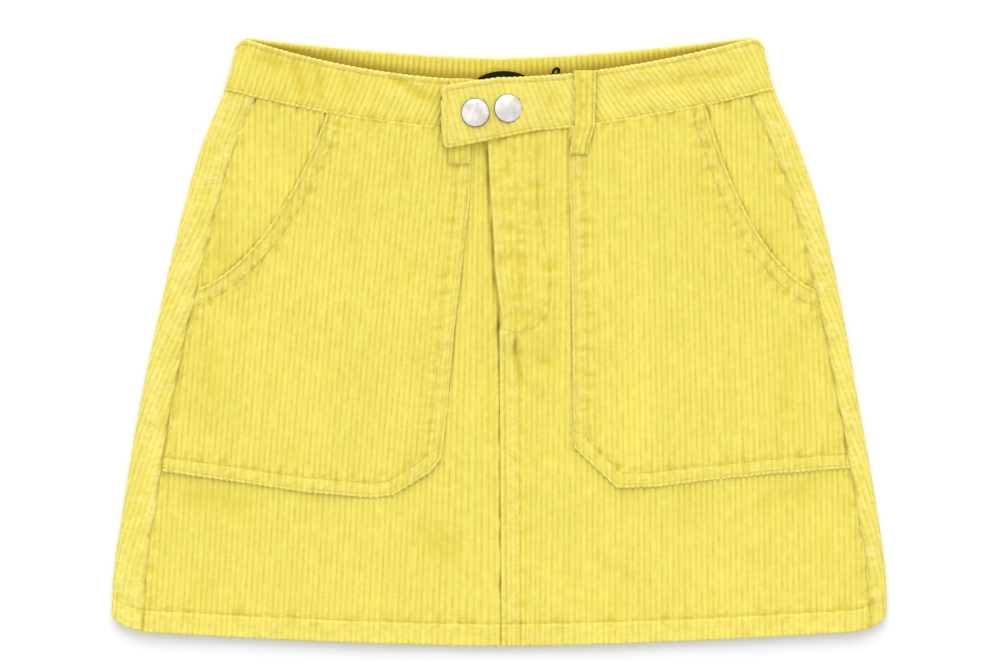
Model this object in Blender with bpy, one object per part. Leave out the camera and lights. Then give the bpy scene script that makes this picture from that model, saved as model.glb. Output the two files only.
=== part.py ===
"""An a-line mini skirt in wide corduroy, laid flat on its back with the front up.

X runs across the front from its left edge to its right, as one looks down on it.  Y runs from the
hem up to the waist, and Z up from the surface that the skirt lies on.  Left and right are those of
the picture that one sees.  Every size is in millimetres until a mesh is made.
"""

import bisect
import math
from collections import namedtuple

import bmesh
import bpy
from mathutils import Matrix, Vector

MM = 0.001

# Cloth
CLOTH = 1.5  # one layer of corduroy
BAND = 2.6  # the waistband, two layers pressed together
HEM = 2.4  # the turned hem
FLY = 2.4  # the fly's folded edge
LOOP = 1.3  # a belt loop
LOOP_STEP = 6.0  # the length over which a loop steps down from a pocket to the waistband
GAP = 0.3  # between pieces that touch
HALF_GAP = GAP / 2
HEM_DEPTH = 15.0
HEM_STEP = 1.0  # the length over which the hem's inner edge steps down to one layer

# The flattened tube, from hem to waist.  left and right are how far its folded sides reach from the
# middle, centre and side are the heights of the front's face there, and under is that of the back's.
Section = namedtuple("Section", "y left right centre side under")
FORM = (
    Section(-200, 252.0, 252.6, 6.0, 7.8, 0.0),
    Section(-160, 250.6, 251.8, 5.0, 7.2, 0.0),
    Section(-100, 242.5, 244.3, 4.4, 7.0, 0.0),
    Section(-40, 232.6, 233.7, 4.2, 7.0, 0.0),
    Section(20, 220.0, 223.3, 4.2, 7.0, 0.0),
    Section(80, 206.0, 210.2, 4.8, 7.2, 0.0),
    Section(130, 191.4, 193.4, 6.4, 7.8, 1.6),
    Section(164, 177.3, 178.8, 7.4, 8.2, 1.6),
    Section(200, 168.2, 169.6, 7.5, 8.2, 1.6),
)

# The cut edges that run across: height at the middle, rise at the folded sides and how late it comes.
Edge = namedtuple("Edge", "middle rise reach power")
FRONT_HEM = Edge(-197.4, 9.6, 235.0, 1.6)
BACK_HEM_SHORTER = 3.0
HEM_CORNER_ACROSS, HEM_CORNER_UP = 26.0, 11.5
FRONT_SEAM = Edge(136.2, 27.4, 177.0, 1.7)
BACK_SEAM = Edge(149.0, 14.6, 177.0, 1.5)
LEFT_TOP = Edge(170.0, 28.0, 168.5, 2.0)
RIGHT_TOP = Edge(171.6, 26.4, 168.5, 1.75)
BACK_TOP = Edge(184.0, 14.0, 168.5, 1.5)

# The back panel turns over both folded sides on to the front, as far as the side seams.
LEFT_TURN = 21.0
RIGHT_TURN_AT_WAIST, RIGHT_TURN_AT_HEM = 17.0, 11.0

# The closure
CENTRE_SEAM = ((-200.0, 2.0), (6.0, 0.6))  # (y, x)
FLY_EDGE = ((6.0, 0.6), (18.0, 1.6), (46.0, -2.1), (75.0, -3.6), (105.0, -5.6), (136.0, -7.3))
FLY_RISE = 3.0  # how far the fly's face stands over the left front's
FLY_RISE_FROM, FLY_RISE_TO = -18.0, 8.0
FLY_FLAT, FLY_RAMP_END = 30.0, 43.0
UNDERLAP = 6.0  # how far the left front goes on under the fly
SHIELD_RIGHT, SHIELD_LOW = 29.0, 13.0
SHIELD_DEPTH, SHIELD = 1.2, 1.2
ZIP_LEFT, ZIP_RIGHT, ZIP_LOW, ZIP = 9.0, 27.0, 16.0, 0.9

# The waistband
BAND_PROUD = 0.9
BAND_LEVEL_FROM = 150.0  # below this the band keeps its height over the surface
BAND_LEFT_END = 26.0
TAB_END, TAB_CORNER = -37.4, 5.4
TAB_DROP_FROM, TAB_DROP = 24.0, 0.205
TAB_TOP_DROP = 0.15
TAB_FLAT, TAB_RAMP_END = 28.0, 44.0  # where the band has risen over its other end, and where it starts
TAB_RISE, TAB_RISE_OVER_LOOP = 3.1, 4.9
TAB_SECOND_FROM, TAB_SECOND_TO = 5.0, -14.0

# Pockets: a patch with a scooped opening, its foot and its inner edge, as (x, y)
Pocket = namedtuple("Pocket", "name side scoop foot inner")
POCKETS = (
    Pocket(
        "pocket_left",
        -1,
        ((-110.3, 152.0), (-124.0, 108.0), (-157.0, 48.0), (-196.5, 33.9)),
        ((-220, -83.0), (-182.8, -89.0), (-125.6, -97.5), (-82, -101.2), (-68.4, -99.5), (-37.0, -76.0)),
        ((-76.0, -37.0), (-39.5, -32.2), (16.0, -27.4), (92.0, -18.7), (137.0, -17.0)),
    ),
    Pocket(
        "pocket_right",
        1,
        ((134.8, 152.0), (144.0, 118.0), (168.0, 48.0), (208.5, 32.4)),
        ((47.9, -67.6), (77.0, -94.9), (102.6, -94.0), (139.2, -89.4), (175.6, -85.8), (228.0, -81.5)),
        ((-67.6, 47.9), (0.0, 47.9), (81.6, 46.1), (137.0, 44.6)),
    ),
)

# Belt loops on the front, as (y, left, right) from the foot up, and on the back, as the middle's x
LEFT_LOOP = ((115.0, -32.6, -17.8), (136.0, -32.4, -17.6), (171.0, -32.0, -17.6))
RIGHT_LOOP = ((121.5, 45.8, 57.8), (131.0, 47.0, 59.8), (140.0, 49.4, 62.6), (156.0, 49.8, 63.0), (176.2, 48.6, 63.6))
BACK_LOOPS = (("loop_back_left", -104.0), ("loop_back_centre", 1.5), ("loop_back_right", 107.0))
BACK_LOOP_WIDTH, BACK_LOOP_BELOW = 13.0, 12.0

# Trims
CAP_RADIUS, CAP_HEIGHT, CAP_ROLL, CAP_RIM = 9.3, 2.0, 0.5, 0.45
Cap = namedtuple("Cap", "name x y tilt")
CAPS = (Cap("snap_cap_left", -15.0, 148.6, 0.0), Cap("snap_cap_right", 6.4, 151.5, 3.0))
LABEL_X, LABEL_Y, LABEL_ACROSS, LABEL_UP, LABEL = 3.3, 165.9, 23.5, 10.0, 0.5
HANGER_X, HANGER_LOW, HANGER_HIGH = 36.8, 158.0, 178.4
HANGER_WIDTH, HANGER_TAPE, HANGER = 4.8, 1.1, 0.6

YELLOW = (0.86, 0.68, 0.09)
NICKEL = (0.74, 0.72, 0.70)
BLACK = (0.012, 0.012, 0.014)


# ---------------------------------------------------------------- curves


def lerp(a, b, share):
    return a + (b - a) * share


def smooth(value, start, end):
    """0 at start, 1 at end and eased between them."""
    share = min(1.0, max(0.0, (value - start) / (end - start)))
    return share * share * (3 - 2 * share)


def along(points, at):
    """Straight runs through (key, value) points, and the end values beyond them."""
    for (a, value_a), (b, value_b) in zip(points, points[1:]):
        if at <= b:
            return lerp(value_a, value_b, max(0.0, (at - a) / (b - a)))
    return points[-1][1]


def slope(keys, values, i):
    """The slope at row i of a curve that never swings past its rows."""
    if i in (0, len(keys) - 1):
        return 0.0 if i == 0 else (values[i] - values[i - 1]) / (keys[i] - keys[i - 1])
    before = (values[i] - values[i - 1]) / (keys[i] - keys[i - 1])
    after = (values[i + 1] - values[i]) / (keys[i + 1] - keys[i])
    return 0.0 if before * after <= 0 else 2 * before * after / (before + after)


def form(column, y):
    """A column of FORM at y, on a smooth curve through its rows."""
    keys = [row.y for row in FORM]
    values = [getattr(row, column) for row in FORM]
    y = min(max(y, keys[0]), keys[-1])
    i = min(max(bisect.bisect_right(keys, y) - 1, 0), len(keys) - 2)
    step = keys[i + 1] - keys[i]
    t = (y - keys[i]) / step
    start, end = slope(keys, values, i) * step, slope(keys, values, i + 1) * step
    return (
        (2 * t**3 - 3 * t**2 + 1) * values[i]
        + (t**3 - 2 * t**2 + t) * start
        + (3 * t**2 - 2 * t**3) * values[i + 1]
        + (t**3 - t**2) * end
    )


def across(edge, x):
    return edge.middle + edge.rise * (abs(x) / edge.reach) ** edge.power


def bezier(controls, t):
    weights = ((1 - t) ** 3, 3 * t * (1 - t) ** 2, 3 * t * t * (1 - t), t**3)
    return tuple(sum(w * c[k] for w, c in zip(weights, controls)) for k in (0, 1))


# ---------------------------------------------------------------- the skirt's lines


def fold(side, y):
    """x of the folded side."""
    return form("right", y) if side > 0 else -form("left", y)


def side_seam(side, y):
    if side < 0:
        return fold(side, y) + LEFT_TURN
    share = (y - FRONT_HEM.middle) / (BAND_LEVEL_FROM - FRONT_HEM.middle)
    return fold(side, y) - lerp(RIGHT_TURN_AT_HEM, RIGHT_TURN_AT_WAIST, share)


def hem_corner(x):
    """How far the hem rises where it goes round the folded sides."""
    reach = form("right" if x > 0 else "left", -180)
    past = min(1.0, max(0.0, (abs(x) - reach + HEM_CORNER_ACROSS) / HEM_CORNER_ACROSS))
    return HEM_CORNER_UP * (1 - math.sqrt(1 - past * past))


def front_hem(x):
    return across(FRONT_HEM, x) + hem_corner(x)


def back_hem(x):
    shorter = BACK_HEM_SHORTER * (1 - min(1.0, abs(x) / form("left", -180)) ** 4)
    return front_hem(x) + shorter


def left_seam(x):
    return across(FRONT_SEAM, x)


def right_seam(x):
    """The waist seam on the right, which drops towards the tab."""
    return across(FRONT_SEAM, max(x, TAB_DROP_FROM)) - TAB_DROP * max(0.0, TAB_DROP_FROM - x)


def right_top(x):
    return across(RIGHT_TOP, max(x, 0.0)) + TAB_TOP_DROP * min(x, 0.0)


def front_face(x, y):
    """Height of the front's face: lowest along the middle, highest at the folded sides."""
    share = min(1.0, abs(x) / form("right" if x > 0 else "left", y))
    return lerp(form("centre", y), form("side", y), share * share)


def fly_rise(x, y):
    return FLY_RISE * (1 - smooth(x, FLY_FLAT, FLY_RAMP_END)) * smooth(y, FLY_RISE_FROM, FLY_RISE_TO)


def right_face(x, y):
    return front_face(x, y) + fly_rise(x, y)


def band_face(x, y):
    return front_face(x, max(y, BAND_LEVEL_FROM)) + BAND_PROUD


def tab_rise(x):
    over_loop = (TAB_RISE_OVER_LOOP - TAB_RISE) * smooth(x, TAB_SECOND_FROM, TAB_SECOND_TO)
    return (TAB_RISE + over_loop) * (1 - smooth(x, TAB_FLAT, TAB_RAMP_END))


def pocket_face(side, x, y):
    under = right_face(x, y) if side > 0 else front_face(x, y)
    return under + GAP + CLOTH


# ---------------------------------------------------------------- meshes


def material(name, color, roughness, metallic=0.0):
    made = bpy.data.materials.new(name)
    made.use_nodes = True
    shader = made.node_tree.nodes["Principled BSDF"]
    shader.inputs["Base Color"].default_value = (*color, 1)
    shader.inputs["Roughness"].default_value = roughness
    shader.inputs["Metallic"].default_value = metallic
    return made


def add(name, bm, stuff):
    """The bmesh as an object of that name, with its faces pointing out."""
    bmesh.ops.recalc_face_normals(bm, faces=bm.faces)
    mesh = bpy.data.meshes.new(name)
    bm.to_mesh(mesh)
    bm.free()
    mesh.materials.append(stuff)
    made = bpy.data.objects.new(name, mesh)
    bpy.context.scene.collection.objects.link(made)
    return made


def slab(name, columns, rows, place, stuff):
    """A closed wall: a grid with a second layer, each point put where place(column, row, inner) says."""
    bm = bmesh.new()
    bmesh.ops.create_grid(bm, x_segments=columns, y_segments=rows, size=0.5)
    bmesh.ops.solidify(bm, geom=bm.faces[:], thickness=1.0)
    outer = max(vertex.co.z for vertex in bm.verts) - 0.5
    for vertex in bm.verts:
        i, j = round((vertex.co.x + 0.5) * columns), round((vertex.co.y + 0.5) * rows)
        vertex.co = Vector(place(i, j, vertex.co.z < outer)) * MM
    bmesh.ops.triangulate(bm, faces=bm.faces[:])
    return add(name, bm, stuff)


def settle(line, low, high, share):
    """The point of a lengthwise line, x by y, at that share of the way between two crosswise edges."""
    x, y = line(0.0), 0.0
    for _ in range(30):
        y = lerp(y, lerp(low(x), high(x), share), 0.7)
        x = line(y)
    return x, y


def between(first, last, count):
    """count lines from first towards last, which isn't one of them."""
    return [
        lambda y, share=k / count: lerp(first(y), last(y), share)
        for k in range(count)
    ]


def lies(lines, low, high, shares, heights):
    """place() for a piece that lies in plan between two crosswise edges; heights is (face, inner) at x, y."""

    def place(i, j, inner):
        x, y = settle(lines[i], low, high, shares[j])
        return x, y, heights(x, y)[inner]

    return place


# ---------------------------------------------------------------- panels


def row_shares(length, *extra):
    """Shares of a panel's length with the hem's rows, the extra ones and even steps above."""
    hem = (0.0, HEM_DEPTH / length, (HEM_DEPTH + HEM_STEP) / length)
    even = [k / 12 for k in range(2, 13)]
    kept = [share for share in even if all(abs(share - other) > 0.02 for other in extra)]
    return sorted([*hem, *extra, *kept])


def hem_wall(x, y, low, single):
    """The wall's thickness: the turned hem's near the edge low, and single above it."""
    depth = y - low(x)
    return lerp(HEM, single, min(1.0, max(0.0, (depth - HEM_DEPTH) / HEM_STEP)))


def front_left(stuff):
    def centre(y):
        return along(CENTRE_SEAM, y) - HALF_GAP + UNDERLAP * smooth(y, 9, 24)

    lines = [*between(lambda y: side_seam(-1, y) + HALF_GAP, centre, 12), centre]
    shares = row_shares(333.0, 0.62, 0.664)

    def heights(x, y):
        face = front_face(x, y)
        return face, face - hem_wall(x, y, front_hem, CLOTH)

    place = lies(lines, front_hem, lambda x: left_seam(x) - HALF_GAP, shares, heights)
    slab("front_left", len(lines) - 1, len(shares) - 1, place, stuff)


def front_right(stuff):
    def centre(y):
        return along((*CENTRE_SEAM, *FLY_EDGE[1:]), y) + HALF_GAP

    def side(y):
        return side_seam(1, y) - HALF_GAP

    lines = [
        *between(centre, lambda y: FLY_FLAT, 3),
        *between(lambda y: FLY_FLAT, lambda y: FLY_RAMP_END, 3),
        *between(lambda y: FLY_RAMP_END, side, 9),
        side,
    ]
    shares = row_shares(333.0, 0.537, 0.577, 0.615)

    def heights(x, y):
        face = right_face(x, y)
        wall = hem_wall(x, y, front_hem, CLOTH)
        return face, face - max(wall, lerp(CLOTH, FLY, fly_rise(x, y) / FLY_RISE))

    place = lies(lines, front_hem, lambda x: right_seam(x) - HALF_GAP, shares, heights)
    slab("front_right", len(lines) - 1, len(shares) - 1, place, stuff)


def fold_radius(y, proud=0.0):
    return (form("side", y) + proud - form("under", y)) / 2


def round_side(side, angle, low, high, share, wall, proud=0.0):
    """A point of the folded side at that angle, from -90 underneath to 90 on top, and wall deep in the cloth."""

    def line(y):
        return fold(side, y) - side * fold_radius(y, proud) * (1 - math.cos(angle))

    x, y = settle(line, low, high, share)
    depth = wall(x, y)
    lift = (fold_radius(y, proud) - depth) * math.sin(angle)
    return x - side * depth * math.cos(angle), y, form("under", y) + fold_radius(y, proud) + lift


FOLD_ANGLES = [math.radians(a) for a in (90, 60, 30, 0, -30, -60, -90)]
UNDER_SHARES = (0.018, 0.045, 0.08, 0.15, 0.24, 0.33, 0.42, 0.5, 0.58, 0.67, 0.76, 0.85, 0.92, 0.955, 0.982)


def back_panel(stuff):
    """The back, with both sides turned over on to the front as far as the side seams."""
    strip = 3
    shares = row_shares(345.0)

    def top(x):
        return across(FRONT_SEAM, x) - HALF_GAP

    def turned(side, k, share):
        """The k-th point of the strip on the front, from the seam out to the fold's start."""

        def line(y):
            seam = side_seam(side, y) + side * HALF_GAP
            return lerp(seam, fold(side, y) - side * fold_radius(y), k / strip)

        return settle(line, front_hem, top, share)

    def laid(k, share):
        """The k-th point of the flat underside, from the left fold's end to the right one's."""

        def line(y):
            return lerp(fold(-1, y) + fold_radius(y), fold(1, y) - fold_radius(y), UNDER_SHARES[k])

        return settle(line, back_hem, lambda x: across(BACK_SEAM, x) - HALF_GAP, share)

    half = strip + len(FOLD_ANGLES)
    columns = 2 * half + len(UNDER_SHARES) - 1

    def place(i, j, inner):
        share = shares[j]
        side, k = (-1, i) if i < columns / 2 else (1, columns - i)
        if k < strip:
            x, y = turned(side, k, share)
            wall = hem_wall(x, y, front_hem, CLOTH)
            return x, y, front_face(x, y) - (wall if inner else 0.0)
        if k < half:

            def wall(x, y):
                return hem_wall(x, y, front_hem, CLOTH) if inner else 0.0

            return round_side(side, FOLD_ANGLES[k - strip], front_hem, top, share, wall)
        x, y = laid(i - half, share)
        wall = hem_wall(x, y, back_hem, CLOTH)
        return x, y, form("under", y) + (wall if inner else 0.0)

    slab("back_panel", columns, len(shares) - 1, place, stuff)


# ---------------------------------------------------------------- waistband


def waistband(stuff):
    """One shaped band, from its end under the tab round the left side, the back and the right side to the tab."""
    left_front = (BAND_LEFT_END, 5, -14, -36, -60, -85, -110, -135, -155)
    right_front = (155, 135, 110, 85, 62, 44, 39, 33, 28, 16, 5, -1, -7, -14, -25, -32, TAB_END)
    rows = 3

    def front_point(side, x, share, inner):
        low, high = (left_seam, lambda x: across(LEFT_TOP, x)) if side < 0 else (right_seam, right_top)
        cut = max(0.0, (TAB_END + TAB_CORNER - x)) if side > 0 else 0.0
        y = lerp(low(x) + HALF_GAP + cut, high(x) - cut, share)
        rise = tab_rise(x) if side > 0 else 0.0
        return x, y, band_face(x, y) + rise - (BAND if inner else 0.0)

    def side_point(side, angle, share, inner):
        def low(x):
            return across(FRONT_SEAM, x) + HALF_GAP

        def wall(x, y):
            return BAND if inner else 0.0

        return round_side(side, angle, low, lambda x: across(BACK_TOP, x), share, wall, BAND_PROUD)

    def under_point(k, share, inner):
        def line(y):
            radius = fold_radius(y, BAND_PROUD)
            return lerp(fold(-1, y) + radius, fold(1, y) - radius, UNDER_SHARES[k])

        x, y = settle(line, lambda x: across(BACK_SEAM, x) + HALF_GAP, lambda x: across(BACK_TOP, x), share)
        return x, y, form("under", y) + (BAND if inner else 0.0)

    stations = [lambda s, n, x=x: front_point(-1, x, s, n) for x in left_front]
    stations += [lambda s, n, a=a: side_point(-1, a, s, n) for a in FOLD_ANGLES]
    stations += [lambda s, n, k=k: under_point(k, s, n) for k in range(len(UNDER_SHARES))]
    stations += [lambda s, n, a=a: side_point(1, a, s, n) for a in reversed(FOLD_ANGLES)]
    stations += [lambda s, n, x=x: front_point(1, x, s, n) for x in right_front]

    def place(i, j, inner):
        return stations[i](j / rows, inner)

    slab("waistband", len(stations) - 1, rows, place, stuff)


# ---------------------------------------------------------------- pockets, fly and loops


def pocket(cut, stuff):
    side = cut.side
    samples = sorted(bezier(cut.scoop, k / 40) for k in range(41))
    seam = right_seam if side > 0 else left_seam
    opening = cut.scoop[0][0]

    def top(x):
        waist = seam(x) - HALF_GAP
        return min(waist, along(samples, x)) if abs(x) > abs(opening) else waist

    def inner_edge(y):
        return along(cut.inner, y)

    def outer_edge(y):
        return side_seam(side, y) - side * HALF_GAP

    lines = between(inner_edge, lambda y: opening, 6)
    for k in range(11):
        lines.append(lambda y, share=(k / 10) ** 1.6: lerp(opening, outer_edge(y), share))

    def heights(x, y):
        face = pocket_face(side, x, y)
        return face, face - CLOTH

    rows = 10
    place = lies(lines, lambda x: along(cut.foot, x), top, [k / rows for k in range(rows + 1)], heights)
    slab(cut.name, len(lines) - 1, rows, place, stuff)


def fly_shield(stuff):
    """The lap sewn to the left front, under the zip."""
    left = UNDERLAP + along(CENTRE_SEAM, 6) + GAP
    lines = [lambda y, x=x: x for x in (left, SHIELD_RIGHT)]

    def heights(x, y):
        face = front_face(x, y) - SHIELD_DEPTH
        return face, face - SHIELD

    rows = 6
    place = lies(lines, lambda x: SHIELD_LOW + 12, lambda x: 136.0, [k / rows for k in range(rows + 1)], heights)
    slab("fly_shield", 1, rows, place, stuff)


def zip_tape(stuff):
    """The closed zip, all of it hidden between the fly and the shield."""
    lines = [lambda y, x=x: x for x in (ZIP_LEFT, ZIP_RIGHT)]

    def heights(x, y):
        face = front_face(x, y)
        return face, face - ZIP

    rows = 6
    place = lies(lines, lambda x: ZIP_LOW + 10, lambda x: 128.0, [k / rows for k in range(rows + 1)], heights)
    slab("zip", 1, rows, place, stuff)


def front_loop(name, side, outline, stuff):
    """A belt loop, from its foot on the pocket up over the waistband."""
    seam = right_seam if side > 0 else left_seam
    left = [(y, a) for y, a, _ in outline]
    right = [(y, b) for y, _, b in outline]
    low, high = outline[0][0], outline[-1][0]
    bend = seam(left[1][1])
    ys = (low, low + 7, bend - 3, bend + LOOP_STEP / 2, bend + LOOP_STEP, lerp(bend, high, 0.6), high)

    def place(i, j, inner):
        y = ys[j]
        x = lerp(along(left, y), along(right, y), i)
        z = lerp(pocket_face(side, x, y), band_face(x, y), smooth(y, bend, bend + LOOP_STEP)) + GAP
        return x, y, z + (0.0 if inner else LOOP)

    slab(name, 1, len(ys) - 1, place, stuff)


def back_loop(name, x, stuff):
    def place(i, j, inner):
        low, high = across(BACK_SEAM, x) - BACK_LOOP_BELOW, across(BACK_TOP, x) - 0.5
        return x + (i - 0.5) * BACK_LOOP_WIDTH, lerp(low, high, j), LOOP if inner else 0.0

    slab(name, 1, 1, place, stuff)


# ---------------------------------------------------------------- trims


def snap_cap(cap, stuff):
    """A turned cap with a rolled edge and a low dome, sitting on the tab."""
    bm = bmesh.new()
    profile = [(0.0, CAP_HEIGHT)]
    dome_edge = CAP_RADIUS - CAP_ROLL
    for k in range(1, 6):
        r = dome_edge * k / 5
        profile.append((r, CAP_HEIGHT - (CAP_HEIGHT - 2 * CAP_ROLL - CAP_RIM) * (r / dome_edge) ** 2.4))
    for k in range(1, 5):
        a = math.radians(90 - 45 * k)
        profile.append((dome_edge + CAP_ROLL * math.cos(a), CAP_RIM + CAP_ROLL + CAP_ROLL * math.sin(a)))
    profile += [(dome_edge - CAP_RIM, 0.0), (0.0, 0.0)]
    points = [bm.verts.new((r * MM, 0, z * MM)) for r, z in profile]
    edges = [bm.edges.new(pair) for pair in zip(points, points[1:])]
    bmesh.ops.spin(
        bm,
        geom=points + edges,
        cent=(0, 0, 0),
        axis=(0, 0, 1),
        angle=2 * math.pi,
        steps=32,
        use_merge=True,
    )
    bmesh.ops.remove_doubles(bm, verts=bm.verts[:], dist=1e-6)
    rim = [(cap.x + CAP_RADIUS * c, cap.y) for c in (-1, 0, 1)]
    lift = max(band_face(x, y) + tab_rise(x) for x, y in rim[1:]) if cap.tilt else band_face(*rim[0]) + tab_rise(rim[0][0])
    tilt = Matrix.Rotation(math.radians(cap.tilt), 4, "Y")
    seat = Vector((cap.x, cap.y, lift + GAP + (0.25 if cap.tilt else 0.0))) * MM
    bmesh.ops.transform(bm, matrix=Matrix.Translation(seat) @ tilt, verts=bm.verts[:])
    add(cap.name, bm, stuff)


def brand_free_label(stuff):
    """A plain oval label on the back waistband's inner side."""
    bm = bmesh.new()
    bmesh.ops.create_circle(bm, cap_ends=True, segments=40, radius=1.0)
    bmesh.ops.solidify(bm, geom=bm.faces[:], thickness=1.0)
    low = min(vertex.co.z for vertex in bm.verts)
    floor = form("under", LABEL_Y) + BAND + GAP
    for vertex in bm.verts:
        x, y, z = vertex.co
        vertex.co = Vector((LABEL_X + LABEL_ACROSS * x, LABEL_Y + LABEL_UP * y, floor + LABEL * (z - low))) * MM
    add("label", bm, stuff)


def hanger_tape(stuff):
    """A narrow tape sewn in as an upright loop beside the label."""
    outer, inner = HANGER_WIDTH / 2, HANGER_WIDTH / 2 - HANGER_TAPE
    high = HANGER_HIGH - outer
    floor = form("under", HANGER_LOW) + BAND + GAP
    bend = [math.radians(180 * k / 8) for k in range(9)]

    def place(i, j, under):
        radius = inner if i == 0 else outer
        if j == 0:
            x, y = radius, HANGER_LOW
        elif j == len(bend) + 1:
            x, y = -radius, HANGER_LOW
        else:
            x, y = radius * math.cos(bend[j - 1]), high + radius * math.sin(bend[j - 1])
        return HANGER_X + x, y, floor + (0.0 if under else HANGER)

    slab("hanger_tape", 1, len(bend) + 1, place, stuff)


def main():
    for old in list(bpy.data.objects):
        bpy.data.objects.remove(old)
    corduroy = material("corduroy", YELLOW, 0.9)
    metal = material("nickel", NICKEL, 0.3, 1.0)
    woven = material("black_tape", BLACK, 0.7)
    back_panel(corduroy)
    front_left(corduroy)
    front_right(corduroy)
    waistband(corduroy)
    for cut in POCKETS:
        pocket(cut, corduroy)
    fly_shield(corduroy)
    zip_tape(material("zip_tape", YELLOW, 0.8))
    front_loop("loop_front_left", -1, LEFT_LOOP, corduroy)
    front_loop("loop_front_right", 1, RIGHT_LOOP, corduroy)
    for name, x in BACK_LOOPS:
        back_loop(name, x, corduroy)
    for cap in CAPS:
        snap_cap(cap, metal)
    brand_free_label(woven)
    hanger_tape(woven)


main()
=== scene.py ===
"""How the corduroy skirt looks: ribbed cloth, stitching, snaps and tapes on the forms of its solids.

X runs across the front, Y from the hem up to the waist and Z up from the surface.  Sizes are in
millimetres until a mesh is made.  Left and right are those that one sees from above.
"""

import math
from collections import namedtuple

import bmesh
import bpy
import numpy as np
from mathutils import Matrix, Vector


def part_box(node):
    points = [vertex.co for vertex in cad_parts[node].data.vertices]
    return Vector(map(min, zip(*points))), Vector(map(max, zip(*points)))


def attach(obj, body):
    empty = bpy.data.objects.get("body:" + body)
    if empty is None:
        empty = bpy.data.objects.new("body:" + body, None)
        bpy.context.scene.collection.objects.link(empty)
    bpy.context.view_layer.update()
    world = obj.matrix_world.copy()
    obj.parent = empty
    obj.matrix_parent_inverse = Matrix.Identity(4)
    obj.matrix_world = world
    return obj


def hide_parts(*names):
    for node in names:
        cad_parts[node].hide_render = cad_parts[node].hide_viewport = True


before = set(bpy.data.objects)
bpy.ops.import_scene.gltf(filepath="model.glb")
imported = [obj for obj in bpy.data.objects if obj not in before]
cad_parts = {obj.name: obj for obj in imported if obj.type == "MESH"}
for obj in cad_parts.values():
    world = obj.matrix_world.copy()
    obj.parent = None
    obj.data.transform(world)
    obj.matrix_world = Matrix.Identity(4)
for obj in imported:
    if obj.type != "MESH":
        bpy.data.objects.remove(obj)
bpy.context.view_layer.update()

MM = 0.001

# Corduroy
PITCH = 3.64  # from cord to cord
RIB = 0.7  # a cord's height
PROUD = 0.15  # how far the cords' crowns stand over the smooth form
CORD_AT = np.array((0.0, 0.2, 0.5, 0.8))  # a cord's points across its width, from groove to groove
CORD_HEIGHT = np.array((0.0, 0.74, 1.0, 0.74))
WALL = 1.35
INNER_DEPTH = WALL + 0.15  # from the outer layer's smooth form down to the inner layer
INNER_CORD, INNER_GOLDEN_SHADE = 0.6, 0.8  # the look of the inner layer: its share of the painted groove shade, and painted golden shade all over it
THINNEST = 0.3  # the wall's least thickness, under the deepest creases
SIDE_COSINE, FOOT_COSINE = 0.98, 0.9  # how slanting the side seams and the pockets' feet are
UNDER_SEAM = 1.3  # how far a piece runs on under its neighbour's sewn edge
ROLL = 1.15  # the rounding of a folded or sewn edge
BEAD = 0.4  # how far a cord's crown stands past a folded edge that it crosses
PALE_FOLD = 0.3  # how worn the nap is over a turned-in edge
ROPE = 0.45  # how far the cloth puffs up between a folded edge and its first row of stitches
HALF_GAP = -0.2  # sewn edges press together, so the looks close the gap that the solids leave
GAP = 0.3

# The flattened tube, from hem to waist: reach of its folded sides, heights of the front's face at
# the middle and at the sides, and height of the back's face
Section = namedtuple("Section", "y left right centre side under")
FORM = (
    Section(-200, 252.0, 252.6, 6.0, 7.8, 0.0),
    Section(-160, 250.6, 251.8, 5.0, 7.2, 0.0),
    Section(-100, 242.5, 244.3, 4.4, 7.0, 0.0),
    Section(-40, 232.6, 233.7, 4.2, 7.0, 0.0),
    Section(20, 220.0, 223.3, 4.2, 7.0, 0.0),
    Section(80, 206.0, 210.2, 4.8, 7.2, 0.0),
    Section(130, 191.4, 193.4, 6.4, 7.8, 1.6),
    Section(164, 177.3, 178.8, 7.4, 8.2, 1.6),
    Section(200, 168.2, 169.6, 7.5, 8.2, 1.6),
)

# Edges that run across: height at the middle, rise at the folded sides and how late it comes
Edge = namedtuple("Edge", "middle rise reach power")
FRONT_HEM = Edge(-197.4, 9.6, 235.0, 1.6)
BACK_HEM_SHORTER = 3.0
HEM_CORNER_ACROSS, HEM_CORNER_UP = 26.0, 11.5
FRONT_SEAM = Edge(136.2, 27.4, 177.0, 1.7)
BACK_SEAM = Edge(149.0, 14.6, 177.0, 1.5)
LEFT_TOP = Edge(170.0, 28.0, 168.5, 2.0)
RIGHT_TOP = Edge(171.6, 26.4, 168.5, 1.75)
BACK_TOP = Edge(184.0, 14.0, 168.5, 1.5)

LEFT_TURN = 21.0
RIGHT_TURN_AT_WAIST, RIGHT_TURN_AT_HEM = 17.0, 11.0

FLY_FOOT = 6.0
CENTRE_SEAM = ((-200.0, 2.0), (FLY_FOOT, 0.6))  # (y, x)
FLY_EDGE = ((FLY_FOOT, 0.6), (18.0, 1.6), (46.0, -2.1), (75.0, -3.6), (105.0, -5.6), (136.0, -7.3))
FLY_RISE = 3.0
FLY_RISE_FROM, FLY_RISE_TO = -18.0, 8.0
FLY_FLAT, FLY_RAMP_END = 30.0, 43.0
UNDERLAP, UNDERLAP_FROM, UNDERLAP_TO = 6.0, 9.0, 24.0
CENTRE_REACH = 34.0  # how far from the centre the cords still follow it

BAND_PROUD = 0.9
BAND = 2.5
BAND_LEVEL_FROM = 150.0
BAND_LEFT_END = 26.0
TAB_END = -37.4
TAB_CORNER_FROM, TAB_CORNER_LOW, TAB_CORNER_HIGH = -31.4, 10.4, 5.9
TAB_DROP_FROM, TAB_DROP = 24.0, 0.205
TAB_TOP_DROP = 0.15
TAB_FLAT, TAB_RAMP_END = 28.0, 44.0
TAB_RISE, TAB_RISE_OVER_LOOP = 3.1, 4.9
TAB_SECOND_FROM, TAB_SECOND_TO = 5.0, -14.0

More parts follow.
